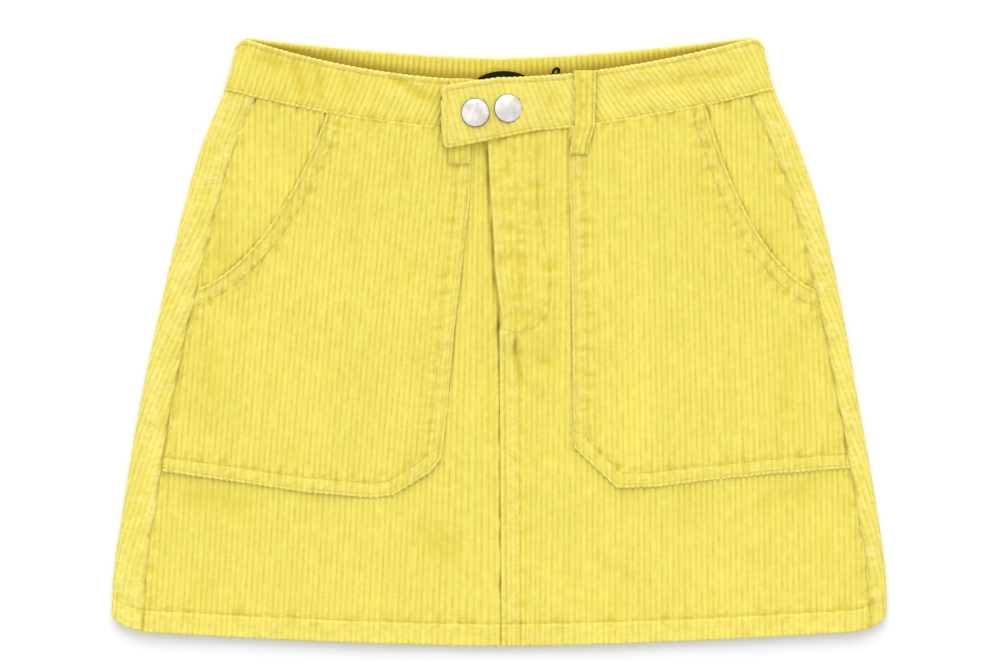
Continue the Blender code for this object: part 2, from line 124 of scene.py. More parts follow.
POCKET_PROUD = 1.8
SCOOP_STEEP = 3.5  # how steeply a scoop runs on up into the band
Pocket = namedtuple("Pocket", "name side scoop foot inner leans")
POCKETS = (
    Pocket(
        "pocket_left",
        -1,
        ((-110.3, 152.0), (-124.0, 108.0), (-157.0, 48.0), (-196.5, 33.9)),
        (
            *((-224, -83.0), (-182.8, -89.0), (-125.6, -97.5), (-82, -101.2)),
            *((-68.4, -99.5), (-43.5, -84.3), (-37.0, -75.7)),
        ),
        ((-75.7, -37.0), (-39.5, -32.2), (16.0, -27.4), (92.0, -18.7), (137.0, -17.0)),
        ((-220.0, 0.080, 0.0), (-90.0, 0.088, 0.00018), (-20.0, 0.088, 0.00006)),
    ),
    Pocket(
        "pocket_right",
        1,
        ((134.8, 152.0), (144.0, 118.0), (168.0, 48.0), (208.5, 32.4)),
        ((47.9, -67.6), (77.0, -94.9), (102.6, -94.0), (139.2, -89.4), (175.6, -85.8), (232.0, -81.5)),
        ((-67.6, 47.9), (0.0, 47.9), (81.6, 46.1), (137.0, 44.6)),
        ((45.0, -0.008, 0.0), (130.0, -0.022, 0.0), (220.0, -0.045, -0.0001)),
    ),
)

# How cords run: (across, lean at the middle height, how the lean changes with each mm up)
LEFT_LEANS = ((-232.0, 0.0154, -0.00033), (-110.0, 0.04, -0.0001), (0.0, 0.028, 0.0))
RIGHT_LEANS = ((0.0, 0.02, 0.0), (110.0, -0.004, 0.0), (232.0, -0.028, -0.00012))
# The waistband's cords, as (x on the front, lean)
BAND_LEFT_LEANS = ((-176.0, 0.02), (-110.0, 0.14), (-60.0, 0.25), (-20.0, 0.38), (26.0, 0.3))
BAND_RIGHT_LEANS = ((-38.0, -0.3), (10.0, -0.3), (60.0, -0.4), (100.0, -0.6), (140.0, -0.36), (176.0, -0.2))
BAND_CORNER_ACROSS, BAND_CORNER_DOWN = 8.0, 6.0

LEFT_LOOP = ((115.0, -32.6, -17.8), (136.0, -32.4, -17.6), (171.0, -32.0, -17.6))
RIGHT_LOOP = ((121.5, 45.8, 57.8), (131.0, 47.0, 59.8), (140.0, 49.4, 62.6), (156.0, 49.8, 63.0), (176.2, 48.6, 63.6))
LOOP, LOOP_STEP = 1.3, 6.0
BACK_LOOPS = (("loop_back_left", -104.0), ("loop_back_centre", 1.5), ("loop_back_right", 107.0))
BACK_LOOP_WIDTH, BACK_LOOP_BELOW = 13.0, 12.0

# drop and power shape the dome, and dip hollows its middle
Cap = namedtuple("Cap", "name x y tilt drop power dip")
CAPS = (
    Cap("snap_cap_left", -15.0, 148.6, 0.0, 0.8, 4.5, 0.26),
    Cap("snap_cap_right", 6.4, 151.5, 8.0, 1.6, 2.2, 0.0),
)
CAP_RADIUS, CAP_HEIGHT, CAP_ROLL, CAP_RIM = 9.3, 2.0, 0.5, 0.45
LABEL_X, LABEL_Y, LABEL_ACROSS, LABEL_UP, LABEL = 3.3, 165.9, 19.5, 10.0, 0.5
HANGER_X, HANGER_LOW, HANGER_HIGH = 36.8, 158.0, 178.4
HANGER_WIDTH, HANGER_TAPE, HANGER = 5.2, 1.6, 0.6
HANGER_SLANT = 0.22
# The hidden pieces of the fly: left, right, low and high edges
FLY_SHIELD, FLY_SHIELD_WALL = (7.0, 29.0, 25.0, 136.0), 1.2
ZIP, ZIP_WALL = (9.0, 27.0, 26.0, 128.0), 0.9

# Stitching
STITCH, STITCH_STEP, THREAD = 2.4, 3.0, 0.42
TACK, TACK_STEP = 2.2, 0.55  # the threads of a bar tack lie across it
HEM_STITCH = 14.5
BAND_HIGH_ROW, BAND_LOW_ROW, TAB_ROW, LOOP_ROW = 3.4, 2.4, 4.2, 2.2

# ---------------------------------------------------------------- curves


def lerp(a, b, share):
    return a + (b - a) * share


def smooth(value, start, end):
    share = np.clip((value - start) / (end - start), 0.0, 1.0)
    return share * share * (3 - 2 * share)


def through(keys, values, at):
    """A smooth curve through the rows that never swings past them."""
    step = np.diff(keys)
    rise = np.diff(values) / step
    turn = rise[:-1] * rise[1:] > 0
    slopes = np.zeros(len(keys))
    total = np.where(turn, rise[:-1] + rise[1:], 1.0)
    slopes[1:-1] = np.where(turn, 2 * rise[:-1] * rise[1:] / total, 0.0)
    slopes[-1] = rise[-1]
    i = np.clip(np.searchsorted(keys, at, side="right") - 1, 0, len(keys) - 2)
    t = (at - keys[i]) / step[i]
    return (
        (2 * t**3 - 3 * t**2 + 1) * values[i]
        + (t**3 - 2 * t**2 + t) * slopes[i] * step[i]
        + (3 * t**2 - 2 * t**3) * values[i + 1]
        + (t**3 - t**2) * slopes[i + 1] * step[i]
    )


FORM_KEYS = np.array([row.y for row in FORM], float)
FINE_Y = np.arange(-200.0, 200.5, 0.5)
FINE = {
    name: through(FORM_KEYS, np.array([getattr(row, name) for row in FORM], float), FINE_Y)
    for name in ("left", "right", "centre", "side", "under")
}


def form(name, y):
    return np.interp(y, FINE_Y, FINE[name])


def table(points, at):
    """Straight runs through (key, value) points."""
    keys, values = zip(*points)
    return np.interp(at, keys, values)


def across(edge, x):
    return edge.middle + edge.rise * (np.abs(x) / edge.reach) ** edge.power


def bezier(controls, count):
    t = np.linspace(0, 1, count)[:, None]
    a, b, c, d = (np.array(p, float) for p in controls)
    return (1 - t) ** 3 * a + 3 * t * (1 - t) ** 2 * b + 3 * t * t * (1 - t) * c + t**3 * d


def waves(at, size, seed):
    """An uneven wave along a line, about -1 to 1, whose swings are about that size."""
    rng = np.random.default_rng(seed)
    total = 0.0
    for share in (0.62, 0.85, 1.0, 1.35, 1.9):
        total = total + np.sin(2 * math.pi * at / (size * share) + rng.uniform(0, 2 * math.pi))
    return total / 2.4


def ripple(x, y, size, seed):
    """A soft uneven swell, about -1 to 1."""
    rng = np.random.default_rng(seed)
    total = 0.0
    for _ in range(7):
        turn, stretch = rng.uniform(0, 2 * math.pi), rng.uniform(0.7, 1.5)
        along = (x * math.cos(turn) + y * math.sin(turn)) / (size * stretch)
        total = total + np.sin(2 * math.pi * along + rng.uniform(0, 2 * math.pi))
    return total / 2.6


def nearest(x, y, line):
    """Distance from a run of points, how far along it the nearest place is, and whether it lies to the right."""
    distance, along, right = np.full(np.shape(x), 1e6), np.zeros(np.shape(x)), np.zeros(np.shape(x), bool)
    start = 0.0
    for (ax, ay), (bx, by) in zip(line, line[1:]):
        dx, dy = bx - ax, by - ay
        length = math.hypot(dx, dy)
        t = np.clip(((x - ax) * dx + (y - ay) * dy) / length**2, 0, 1)
        d = np.hypot(x - ax - t * dx, y - ay - t * dy)
        nearer = d < distance
        distance = np.where(nearer, d, distance)
        along = np.where(nearer, start + t * length, along)
        right = np.where(nearer, dx * (y - ay) < dy * (x - ax), right)
        start += length
    return distance, along, right


def beside(line, distance):
    """The same run of points, moved to its left by that much."""
    line = np.array(line, float)
    ahead = np.gradient(line, axis=0)
    ahead /= np.linalg.norm(ahead, axis=1)[:, None]
    return line + distance * np.stack([-ahead[:, 1], ahead[:, 0]], 1)


def evenly(line, step):
    """Points every step along a run of points, and the way that it heads there."""
    line = np.array(line, float)
    lengths = np.concatenate([[0], np.cumsum(np.linalg.norm(np.diff(line, axis=0), axis=1))])
    at = np.arange(step / 2, lengths[-1], step)
    points = np.stack([np.interp(at, lengths, line[:, k]) for k in (0, 1)], 1)
    ahead = np.stack([np.interp(at + 0.5, lengths, line[:, k]) for k in (0, 1)], 1) - points
    return points, ahead / np.maximum(np.linalg.norm(ahead, axis=1), 1e-6)[:, None]


# ---------------------------------------------------------------- the skirt's lines


def fold(side, y):
    return form("right", y) if side > 0 else -form("left", y)


def fold_radius(y, proud=0.0):
    return (form("side", y) + proud - form("under", y)) / 2


def side_seam(side, y, uneven=0.45):
    wander = uneven * waves(y, 21, 3 + side)
    if side < 0:
        return fold(side, y) + LEFT_TURN + wander
    share = (y - FRONT_HEM.middle) / (BAND_LEVEL_FROM - FRONT_HEM.middle)
    return fold(side, y) - lerp(RIGHT_TURN_AT_HEM, RIGHT_TURN_AT_WAIST, share) + wander


def side_turn(y):
    """How wide the right-hand strip of the back is on the front."""
    return fold(1, y) - side_seam(1, y)


def hem_corner(x):
    reach = np.where(x > 0, form("right", -180.0), form("left", -180.0))
    past = np.clip((np.abs(x) - reach + HEM_CORNER_ACROSS) / HEM_CORNER_ACROSS, 0.0, 1.0)
    return HEM_CORNER_UP * (1 - np.sqrt(1 - past * past))


def front_hem(x):
    return across(FRONT_HEM, x) + hem_corner(x)


def back_hem(x):
    shorter = BACK_HEM_SHORTER * (1 - np.minimum(1.0, np.abs(x) / form("left", -180.0)) ** 4)
    return front_hem(x) + shorter


def left_seam(x):
    return across(FRONT_SEAM, x)


def right_seam(x):
    return across(FRONT_SEAM, np.maximum(x, TAB_DROP_FROM)) - TAB_DROP * np.maximum(0.0, TAB_DROP_FROM - x)


def left_top(x):
    return across(LEFT_TOP, x)


def right_top(x):
    return across(RIGHT_TOP, np.maximum(x, 0.0)) + TAB_TOP_DROP * np.minimum(x, 0.0)


def front_face(x, y):
    reach = np.where(x > 0, form("right", y), form("left", y))
    return lerp(form("centre", y), form("side", y), np.minimum(1.0, np.abs(x) / reach) ** 2)


def fly_rise(x, y):
    return FLY_RISE * (1 - smooth(x, FLY_FLAT, FLY_RAMP_END)) * smooth(y, FLY_RISE_FROM, FLY_RISE_TO)


def right_face(x, y):
    return front_face(x, y) + fly_rise(x, y)


def band_face(x, y):
    return front_face(x, np.maximum(y, BAND_LEVEL_FROM)) + BAND_PROUD


def tab_rise(x):
    over_loop = (TAB_RISE_OVER_LOOP - TAB_RISE) * smooth(-x, -TAB_SECOND_FROM, -TAB_SECOND_TO)
    return (TAB_RISE + over_loop) * (1 - smooth(x, TAB_FLAT, TAB_RAMP_END))


def pocket_face(side, x, y):
    return (right_face(x, y) if side > 0 else front_face(x, y)) + POCKET_PROUD


def centre_line(y):
    return table(CENTRE_SEAM, y)


def fly_line(y):
    return table((*CENTRE_SEAM, *FLY_EDGE[1:]), y)


# ---------------------------------------------------------------- relief

# A line that draws the cloth in: its depth and half width, how high it puckers the cloth beside it, how far
# apart the puckers are and how far they reach.  sewn says whether stitches show, and shade how dark it lies.
Row = namedtuple("Row", "line depth width pucker swing spread sewn shade", defaults=(0.0,))
# A soft trough or ridge (height above 0) along a run of points, that fades at both ends
Crease = namedtuple("Crease", "line height width")


def row_relief(row, x, y, seed):
    """(height, share of painted golden shade in the puckers' troughs, share of painted shade) near a line."""
    d, along, _ = nearest(x, y, row.line)
    line = np.exp(-((d / row.width) ** 2))
    beside_it = np.exp(-((d / row.spread) ** 2))
    swell = waves(along, row.swing, seed) + 0.6 * ripple(x, y, 5.0, seed + 70)
    shape = -row.depth * line + row.pucker * np.clip(swell, -1.2, 1.2) * beside_it
    # golden is painted golden shade in the troughs between the puckers
    golden = np.clip(-0.9 * swell, 0, 1) * beside_it * min(1, 3 * row.pucker)
    broken = 0.6 + 0.5 * waves(along, 26, seed + 9)
    return shape, golden, 0.0 * line if row.sewn else np.clip(row.shade * broken, 0, 1) * line


def crease_relief(crease, x, y):
    d, along, _ = nearest(x, y, crease.line)
    length = sum(math.dist(a, b) for a, b in zip(crease.line, crease.line[1:]))
    ends = smooth(along, 0, 0.3 * length) * (1 - smooth(along, 0.7 * length, length))
    return crease.height * ends * np.exp(-((d / crease.width) ** 2))


def relief(rows, creases, x, y):
    total, golden_shade_and_patches, shade = np.zeros(np.shape(x)), np.zeros(np.shape(x)), np.zeros(np.shape(x))
    for seed, row in enumerate(rows):
        shape, golden, dark = row_relief(row, x, y, seed)
        total += shape
        golden_shade_and_patches, shade = np.maximum(golden_shade_and_patches, golden), np.maximum(shade, dark)
    for crease in creases:
        shape = crease_relief(crease, x, y)
        total += shape
        # painted golden shade in the creases' troughs
        golden_shade_and_patches = np.maximum(golden_shade_and_patches, np.clip(-0.9 * shape, 0, 1))
    return total, golden_shade_and_patches, shade


def roll_off(d, radius):
    inside = np.clip(radius - d, 0, radius)
    return radius - np.sqrt(radius**2 - inside**2)


# ---------------------------------------------------------------- meshes


# The attributes that hold how far each place is from the lines of stitches
LINES = ("line_1", "line_2", "line_3", "line_4")
FAR = 60.0  # stands for no line near by


def new_mesh(name, bm):
    mesh = bpy.data.meshes.new(name)
    bm.to_mesh(mesh)
    bm.free()
    return mesh


def add(mesh, *stuffs):
    """Gives a mesh its materials and puts it in the scene."""
    for stuff in stuffs:
        mesh.materials.append(stuff)
    made = bpy.data.objects.new(mesh.name, mesh)
    bpy.context.scene.collection.objects.link(made)
    return made


def grid(name, columns, rows):
    """A closed two-layer grid as a mesh, with the column, row and layer of each of its points."""
    bm = bmesh.new()
    bmesh.ops.create_grid(bm, x_segments=columns, y_segments=rows, size=0.5)
    bmesh.ops.solidify(bm, geom=bm.faces[:], thickness=1.0)
    mesh = new_mesh(name, bm)
    points = np.empty(len(mesh.vertices) * 3, np.float32)
    mesh.vertices.foreach_get("co", points)
    points = points.reshape(-1, 3)
    i = np.rint((points[:, 0] + 0.5) * columns).astype(int)
    j = np.rint((points[:, 1] + 0.5) * rows).astype(int)
    return mesh, i, j, points[:, 2] < points[:, 2].max() - 0.5


def finish_cloth(mesh, points, facts, stuff):
    """Puts the points in place, joins those that meet, and keeps the facts as attributes."""
    mesh.vertices.foreach_set("co", (np.stack(points, 1) * MM).astype(np.float32).ravel())
    none = np.zeros(len(mesh.vertices))
    facts = {**{name: none + FAR for name in LINES}, **dict.fromkeys(("shade", "golden_shade_and_patches", "edge", "tone"), none), **facts}
    facts.setdefault("cord", none + 0.7)
    for name, values in facts.items():
        layer = mesh.attributes.new(name, "FLOAT", "POINT")
        layer.data.foreach_set("value", values.astype(np.float32))
    bm = bmesh.new()
    bm.from_mesh(mesh)
    bmesh.ops.remove_doubles(bm, verts=bm.verts[:], dist=2e-6)
    bmesh.ops.dissolve_degenerate(bm, edges=bm.edges[:], dist=1e-7)
    bmesh.ops.recalc_face_normals(bm, faces=bm.faces[:])
    bm.to_mesh(mesh)
    bm.free()
    mesh.shade_smooth()
    return add(mesh, stuff)


def cords(first, last):
    """The columns from one place across the cloth to another: place, height in the cord and cord number."""
    numbers = np.arange(math.floor(first / PITCH), math.ceil(last / PITCH) + 1)
    at = ((numbers[:, None] + CORD_AT) * PITCH).ravel()
    keep = (at >= first) & (at <= last)
    return at[keep], np.tile(CORD_HEIGHT, len(numbers))[keep], np.repeat(numbers, len(CORD_AT))[keep]


def stretches(at, point, edges, low, high, count):
    """Where each column enters the piece and leaves it, and how many of its places are inside."""
    s = np.linspace(low, high, count)
    margin = np.minimum.reduce(edges(*point(np.repeat(at[:, None], count, 1), np.repeat(s[None], len(at), 0))))
    inside = margin > 0
    first, last = inside.argmax(1), count - 1 - inside[:, ::-1].argmax(1)
    rows = np.arange(len(at))

    def crossing(k, other):
        other = np.clip(other, 0, count - 1)
        here, there = margin[rows, k], margin[rows, other]
        share = np.where(there < 0, here / np.maximum(here - there, 1e-9), 0.0)
        return lerp(s[k], s[other], share)

    return crossing(first, first - 1), crossing(last, last + 1), np.where(inside.any(1), last - first + 1, 0)


def steepness(at, ends):
    """How much longer a column's way to a slanting edge is than the straight way.  Beside an edge that runs
    almost along the columns it is kept short, so that neighbouring columns still match."""
    slope = np.abs(np.gradient(ends, at))
    return np.clip(np.sqrt(1 + slope**2), 1, 2) * np.interp(slope, [7, 16], [1.0, 0.04])


def row_places(at, start, end, starts, ends, step, low, high):
    """Height of every grid point, (columns, rows): close rows at both ends and even ones between."""
    lean_in, lean_out = steepness(at, start), steepness(at, end)
    room = (starts[-1] + 1.5) * lean_in + (ends[-1] + 1.5) * lean_out
    fit = np.minimum(1.0, (end - start) / (room + 3.0))
    near = start[:, None] + np.array(starts)[None] * (lean_in * fit)[:, None]
    far = end[:, None] - np.array(ends[::-1])[None] * (lean_out * fit)[:, None]
    even = np.arange(low + step / 2, high, step)
    inner_low = start + (starts[-1] + 1.5) * lean_in * fit
    inner_high = end - (ends[-1] + 1.5) * lean_out * fit
    middle = np.clip(even[None], inner_low[:, None], inner_high[:, None])
    return np.concatenate([near, middle, far], 1)


def cord_tone(numbers, seed):
    """A shade for each cord, about -1 to 1."""
    rng = np.random.default_rng(seed)
    shades = rng.normal(0, 0.5, int(numbers.max() - numbers.min()) + 1)
    return np.clip(shades[numbers - numbers.min()], -1, 1)


# A piece that is cut flat: the places of its first and last cord and how the cords lean, its outline, what it lies
# on, what stands up or sinks in, its rows of stitches, where its grid's rows lie, and how far cords pass its edges
Cut = namedtuple(
    "Cut",
    "name first last leans edges face rows creases folds lines low high step starts ends beads seed bend",
    defaults=(None,),
)


def flat_piece(cut, stuff):
    """A piece that lies in plan, with its cords along the grid's columns and its outline cut from them."""
    at, height, numbers = cords(cut.first, cut.last)
    keys, leans, bends = zip(*cut.leans)

    def point(c, s):
        aside_by = cut.bend(c, s) if cut.bend else 0.0
        return c + np.interp(c, keys, leans) * s + np.interp(c, keys, bends) * s * s / 2 + aside_by, s

    start, end, kept = stretches(at, point, cut.edges, cut.low, cut.high, 500)
    at, height, numbers, start, end = (a[kept > 0] for a in (at, height, numbers, start, end))
    start = start - cut.beads[0] * (height - 0.5)
    end = end + cut.beads[1] * (height - 0.5)
    places = row_places(at, start, end, cut.starts, cut.ends, cut.step, cut.low, cut.high)
    mesh, i, j, inner = grid(cut.name, len(at) - 1, places.shape[1] - 1)
    x, y = point(at[i], places[i, j])
    edge = np.maximum(np.minimum.reduce(cut.edges(x, y)), 0)
    shape, golden_shade_and_patches, shade = relief(cut.rows, (), x, y)
    shape = shape + folded_height(cut, x, y)
    worn = worn_share(edge, shape) * (0.35 + 0.65 * height[i])
    # golden is painted golden shade in the creases' troughs
    bend, golden, _ = relief((), cut.creases, x, y)
    shape = shape + bend + 0.3 * ripple(x, y, 75, cut.seed)
    rib = rib_height(height[i], numbers[i], y, cut.seed)
    outer_z = cut.face(x, y) + PROUD - RIB + rib + shape - roll_off(edge + 0.4 * height[i], ROLL)
    z = np.where(inner, np.minimum(cut.face(x, y) - INNER_DEPTH, outer_z - THINNEST), outer_z)
    for distance, width, _, _ in cut.folds:
        worn = np.maximum(worn, PALE_FOLD * (1 - smooth(distance(x, y), width - 1.0, width + 0.6)))
    facts = {
        "cord": np.where(inner, INNER_CORD, height[i]),
        "edge": worn,
        "golden_shade_and_patches": np.where(inner, INNER_GOLDEN_SHADE, np.maximum(golden_shade_and_patches, golden)),
        "shade": np.where(inner, 0.0, shade),
        "tone": cord_tone(numbers, cut.seed)[i],
    }
    for name, distance in zip(LINES, cut.lines):
        facts[name] = np.where(inner, FAR, distance(x, y))
    return finish_cloth(mesh, (x, y, z), facts, stuff)


def rib_height(height, numbers, along, seed):
    """Cords are uneven along their length, each in its own way."""
    return RIB * height * (1 + 0.22 * waves(along + 37 * numbers, 13, seed))


def worn_share(edge, shape):
    """Nap wears pale where the cloth stands up, along its edges and on the crests of puckers."""
    return np.clip(np.maximum(np.exp(-edge / 1.2), 0.9 * np.minimum(shape, 0.8)), 0, 1)


def folded_height(cut, x, y):
    """How much a turned-in edge lifts the cloth.  folds holds (distance function, width, lift, rope)."""
    lift = np.zeros(np.shape(x))
    uneven = 0.7 + 0.6 * ripple(x, y, 6.0, 61)
    for distance, width, height, rope in cut.folds:
        d = distance(x, y)
        puffed = rope * uneven * np.exp(-((d - 0.9) ** 2))
        lift = np.maximum(lift, height * (1 - smooth(d, width - 0.8, width + 1.6)) + puffed)
    return lift


# ---------------------------------------------------------------- materials


def linear(*levels):
    """A colour from its red, green and blue levels, 0 to 255."""
    shares = (level / 255 for level in levels)
    return (*(share / 12.92 if share < 0.04045 else ((share + 0.055) / 1.055) ** 2.4 for share in shares), 1)


CROWN = linear(236, 222, 101)
# Painted shade in the grooves between the cords
GROOVE_SHADE = linear(216, 195, 74)
# A golden colour: painted shade in the troughs of puckers and creases and on the inner layers, and also the cloth's
# own golden patches at random
GOLDEN_SHADE_AND_PATCHES = linear(221, 199, 68)
SHADED = linear(160, 130, 26)
# Pale worn nap, also used for painted sheen along the outline of the folded sides
WORN_AND_SHEEN = linear(242, 231, 142)
THREAD_COLOUR = linear(238, 222, 108)
SEWN_LINE = linear(188, 160, 44)


def feed(tree, node, sockets):
    """Sets sockets, by name or number, to constants or links them."""
    for name, value in sockets.items():
        if isinstance(value, bpy.types.NodeSocket):
            tree.links.new(value, node.inputs[name])
        else:
            node.inputs[name].default_value = value


def put(tree, kind, sockets=None, output=0, **settings):
    """Adds a node, and gives the socket that comes out of it."""
    node = tree.nodes.new(kind)
    for name, value in settings.items():
        setattr(node, name, value)
    feed(tree, node, sockets or {})
    return node.outputs[output]


def attribute(tree, name):
    return put(tree, "ShaderNodeAttribute", output="Fac", attribute_name=name)


def maths(tree, operation, *values):
    return put(tree, "ShaderNodeMath", dict(enumerate(values)), operation=operation)


def times(tree, a, b):
    return maths(tree, "MULTIPLY", a, b)


def blend(tree, factor, a, b):
    return put(tree, "ShaderNodeMix", {0: factor, 6: a, 7: b}, output=2, data_type="RGBA")


def noise(tree, scale, detail=2.0, rough=0.5, stretch=(1, 1, 1)):
    where = put(tree, "ShaderNodeTexCoord", output="Object")
    where = put(tree, "ShaderNodeMapping", {"Vector": where, "Scale": stretch})
    sockets = {"Vector": where, "Scale": scale, "Detail": detail, "Roughness": rough}
    return put(tree, "ShaderNodeTexNoise", sockets, output="Fac")


def spread(tree, value, low, high):
    """value from low to high as 0 to 1."""
    return put(tree, "ShaderNodeMapRange", {"Value": value, "From Min": low, "From Max": high}, clamp=True)


def bump(tree, height, strength, distance):
    return put(tree, "ShaderNodeBump", {"Height": height, "Strength": strength, "Distance": distance})


def shader_of(name, settings):
    made = bpy.data.materials.new(name)
    made.use_nodes = True
    feed(made.node_tree, made.node_tree.nodes["Principled BSDF"], settings)
    return made, made.node_tree, made.node_tree.nodes["Principled BSDF"]


def corduroy():
    settings = {
        "Roughness": 0.92,
        "Specular IOR Level": 0.2,
        "Sheen Weight": 0.2,
        "Sheen Roughness": 0.5,
        "Sheen Tint": linear(255, 246, 190),
    }
    made, tree, shader = shader_of("corduroy", settings)
    fuzz = noise(tree, 900, 3, 0.6)
    broken = noise(tree, 330, 2, 0.6, (0.7, 1.0, 1))
    bar = noise(tree, 240, 1, 0.5, (1.1, 0.5, 1))
    streak = noise(tree, 170, 2, 0.55, (1.6, 0.4, 1))
    cloud = noise(tree, 16, 3, 0.6)
    golden = noise(tree, 45, 3, 0.6, (1, 0.8, 1))

    # painted shade down the grooves between the cords, uneven along them
    groove = times(tree, spread(tree, attribute(tree, "cord"), 0.85, 0.0), spread(tree, streak, 0.25, 0.65))
    colour = blend(tree, groove, CROWN, GROOVE_SHADE)
    patch = times(tree, spread(tree, golden, 0.52, 0.75), 0.35)
    # painted golden shade from troughs, creases and inner layers, together with golden patches of the cloth's own tone
    # at random
    golden_shade_and_patches = maths(tree, "MAXIMUM", times(tree, attribute(tree, "golden_shade_and_patches"), 0.9), patch)
    colour = blend(tree, golden_shade_and_patches, colour, GOLDEN_SHADE_AND_PATCHES)
    # pale worn nap along edges, with painted sheen along the folded sides' outline, and pale bars at random
    wear_and_sheen = times(tree, spread(tree, broken, 0.36, 0.6), attribute(tree, "edge"))
    pale = times(tree, spread(tree, bar, 0.55, 0.75), 0.15)
    colour = blend(tree, maths(tree, "MAXIMUM", times(tree, wear_and_sheen, 0.8), pale), colour, WORN_AND_SHEEN)
    sewn = 0.0
    for name in LINES:
        line = spread(tree, maths(tree, "ABSOLUTE", attribute(tree, name)), 0.8, 0.2)
        sewn = maths(tree, "MAXIMUM", line, sewn)
    sewn = times(tree, sewn, spread(tree, broken, 0.3, 0.7))
    colour = blend(tree, times(tree, sewn, 0.62), colour, SEWN_LINE)
    colour = blend(tree, attribute(tree, "shade"), colour, SHADED)

    bright = 0.84
    for source, share in ((cloud, 0.1), (bar, 0.12), (broken, 0.1), (attribute(tree, "tone"), 0.02)):
        bright = maths(tree, "MULTIPLY_ADD", source, share, bright)
    colour = put(tree, "ShaderNodeHueSaturation", {"Color": colour, "Value": bright})
    height = maths(tree, "ADD", maths(tree, "ADD", fuzz, broken), bar)
    feed(tree, shader, {"Base Color": colour, "Normal": bump(tree, height, 0.6, 0.0005)})
    return made


def plain(name, colour, roughness, metallic=0.0, grain=0.0, grain_scale=900, specular=0.5):
    settings = {"Base Color": colour, "Roughness": roughness, "Metallic": metallic, "Specular IOR Level": specular}
    made, tree, shader = shader_of(name, settings)
    if grain:
        feed(tree, shader, {"Normal": bump(tree, noise(tree, grain_scale, 2), grain, 0.0002)})
    return made


def nickel():
    made = plain("nickel", (0.8, 0.77, 0.73, 1), 0.36, 1.0, grain=0.12, grain_scale=420)
    tree = made.node_tree
    mottled = spread(tree, noise(tree, 170, 3, 0.6, (1.0, 0.7, 1)), 0.35, 0.65)
    colour = blend(tree, mottled, (0.68, 0.65, 0.6, 1), (0.95, 0.93, 0.89, 1))
    feed(tree, tree.nodes["Principled BSDF"], {"Base Color": colour})
    return made


# ---------------------------------------------------------------- panels

# Where the grid's rows lie: measured in from an edge, and evenly between
EVEN_ROWS, POCKET_EVEN_ROWS, BACK_EVEN_ROWS = 3.1, 2.8, 6.5
FOLDED_ROWS = (0.0, 0.35, 0.9, 1.8, 3.0)
HEM_ROWS = (0.0, 0.35, 0.9, 1.8, 4.5, 8.0, 11.5, 13.0, 13.8, 14.5, 15.2, 16.0, 17.5)
POCKET_ROWS = (0.0, 0.35, 0.9, 1.9, 3.2, 6.5, 8.6, 9.6, 10.6, 12.0)
BACK_HEM_ROWS, BACK_TOP_ROWS = (0.0, 0.35, 0.9, 1.8, 6, 12.8, 14.5, 16.2), (0.0, 0.5, 1.4, 3.0)
LOWEST, FRONT_HIGHEST, BACK_HIGHEST = -200.0, 162.0, 172.0

# Rows of stitches, from the edge that they follow
CENTRE_STITCHES = (3.6, 12.4)
POCKET_STITCHES = (2.2, 9.6)
J_STITCH = (
    (24.0, 140), (25.0, 92), (29.5, 66), (33.5, 47), (34.6, 30), (31.6, 17), (23.5, 9.8), (12.5, 6.0), (0.6, 9.4)
)

LEFT_CREASES = (
    Crease(((-170, 20), (-190, 90)), -0.5, 12),
    Crease(((-150, -118), (-95, -165)), 0.6, 15),
    Crease(((-60, -120), (-20, -140)), -0.6, 12),
    Crease(((-215, -95), (-150, -112)), -0.6, 8),
    Crease(((-16, 120), (-14, 30), (-24, -40)), 0.5, 5),
    Crease(((-9, 20), (-6, -30), (-4, -80)), -0.4, 4),
)
RIGHT_CREASES = (
    Crease(((12.0, 9), (10.6, -4), (12.5, -16), (16.5, -36)), -1.7, 2.0),
    Crease(((5.5, 8), (5.5, -30)), 0.9, 3.0),
    Crease(((18, 4), (19, -12), (23, -34)), 0.9, 3.0),
    Crease(((6, 56), (8, 34), (7, 12)), 0.8, 3.0),
    Crease(((22, -10), (30, -14), (42, -15)), -0.9, 3.0),
    Crease(((22, -24), (48, -34)), 0.5, 6),
    Crease(((12, 66), (15, 40), (14, 24), (17, 8)), -1.2, 2.2),
    Crease(((26, 130), (24, 60)), -0.35, 3.0),
    Crease(((3, 46), (22, 50)), -0.7, 4.0),
    Crease(((2, 30), (14, 27)), 0.5, 4.0),
    Crease(((0, 92), (18, 96)), -0.4, 5.0),
    Crease(((0, 118), (14, 122)), -0.5, 4.0),
    Crease(((60, -120), (130, -155)), 0.6, 15),
    Crease(((160, 20), (185, 80)), -0.4, 12),
    Crease(((215, -92), (160, -108)), -0.5, 8),
)


def upright(line, y, offset=0.0):
    """A line that runs up the skirt, as points."""
    return list(zip(line(y) + offset, y))


def level(line, low, high):
    """A line that runs across the skirt, as points."""
    x = np.linspace(low, high, 40)
    return list(zip(x, line(x)))


def resampled(line, step=4.0):
    points, _ = evenly(line, step)
    return np.concatenate([np.array(line[:1], float), points, np.array(line[-1:], float)])


def from_hem(x, y):
    return y - front_hem(x)


def hem_distance(x, y):
    return from_hem(x, y) - HEM_STITCH


def hem_row(low, high):
    return Row(level(lambda x: front_hem(x) + HEM_STITCH, low, high), 0.8, 1.0, 0.3, 19, 6.0, True)


def waist_row(seam, low, high):
    return Row(level(seam, low, high), 0.15, 1.1, 0.45, 11, 6.0, False, 0.3)


def seam_row(side):
    seam = upright(lambda y: side_seam(side, y), np.linspace(-196, 164, 60))
    return Row(seam, 0.35, 0.9, 0.5, 15, 6.0, False, 0.5)


def pressed(line, depth, width, shade):
    """Where another piece's edge or an open edge lies, without puckers."""
    return Row(line, depth, width, 0.0, 20, 3, False, shade)


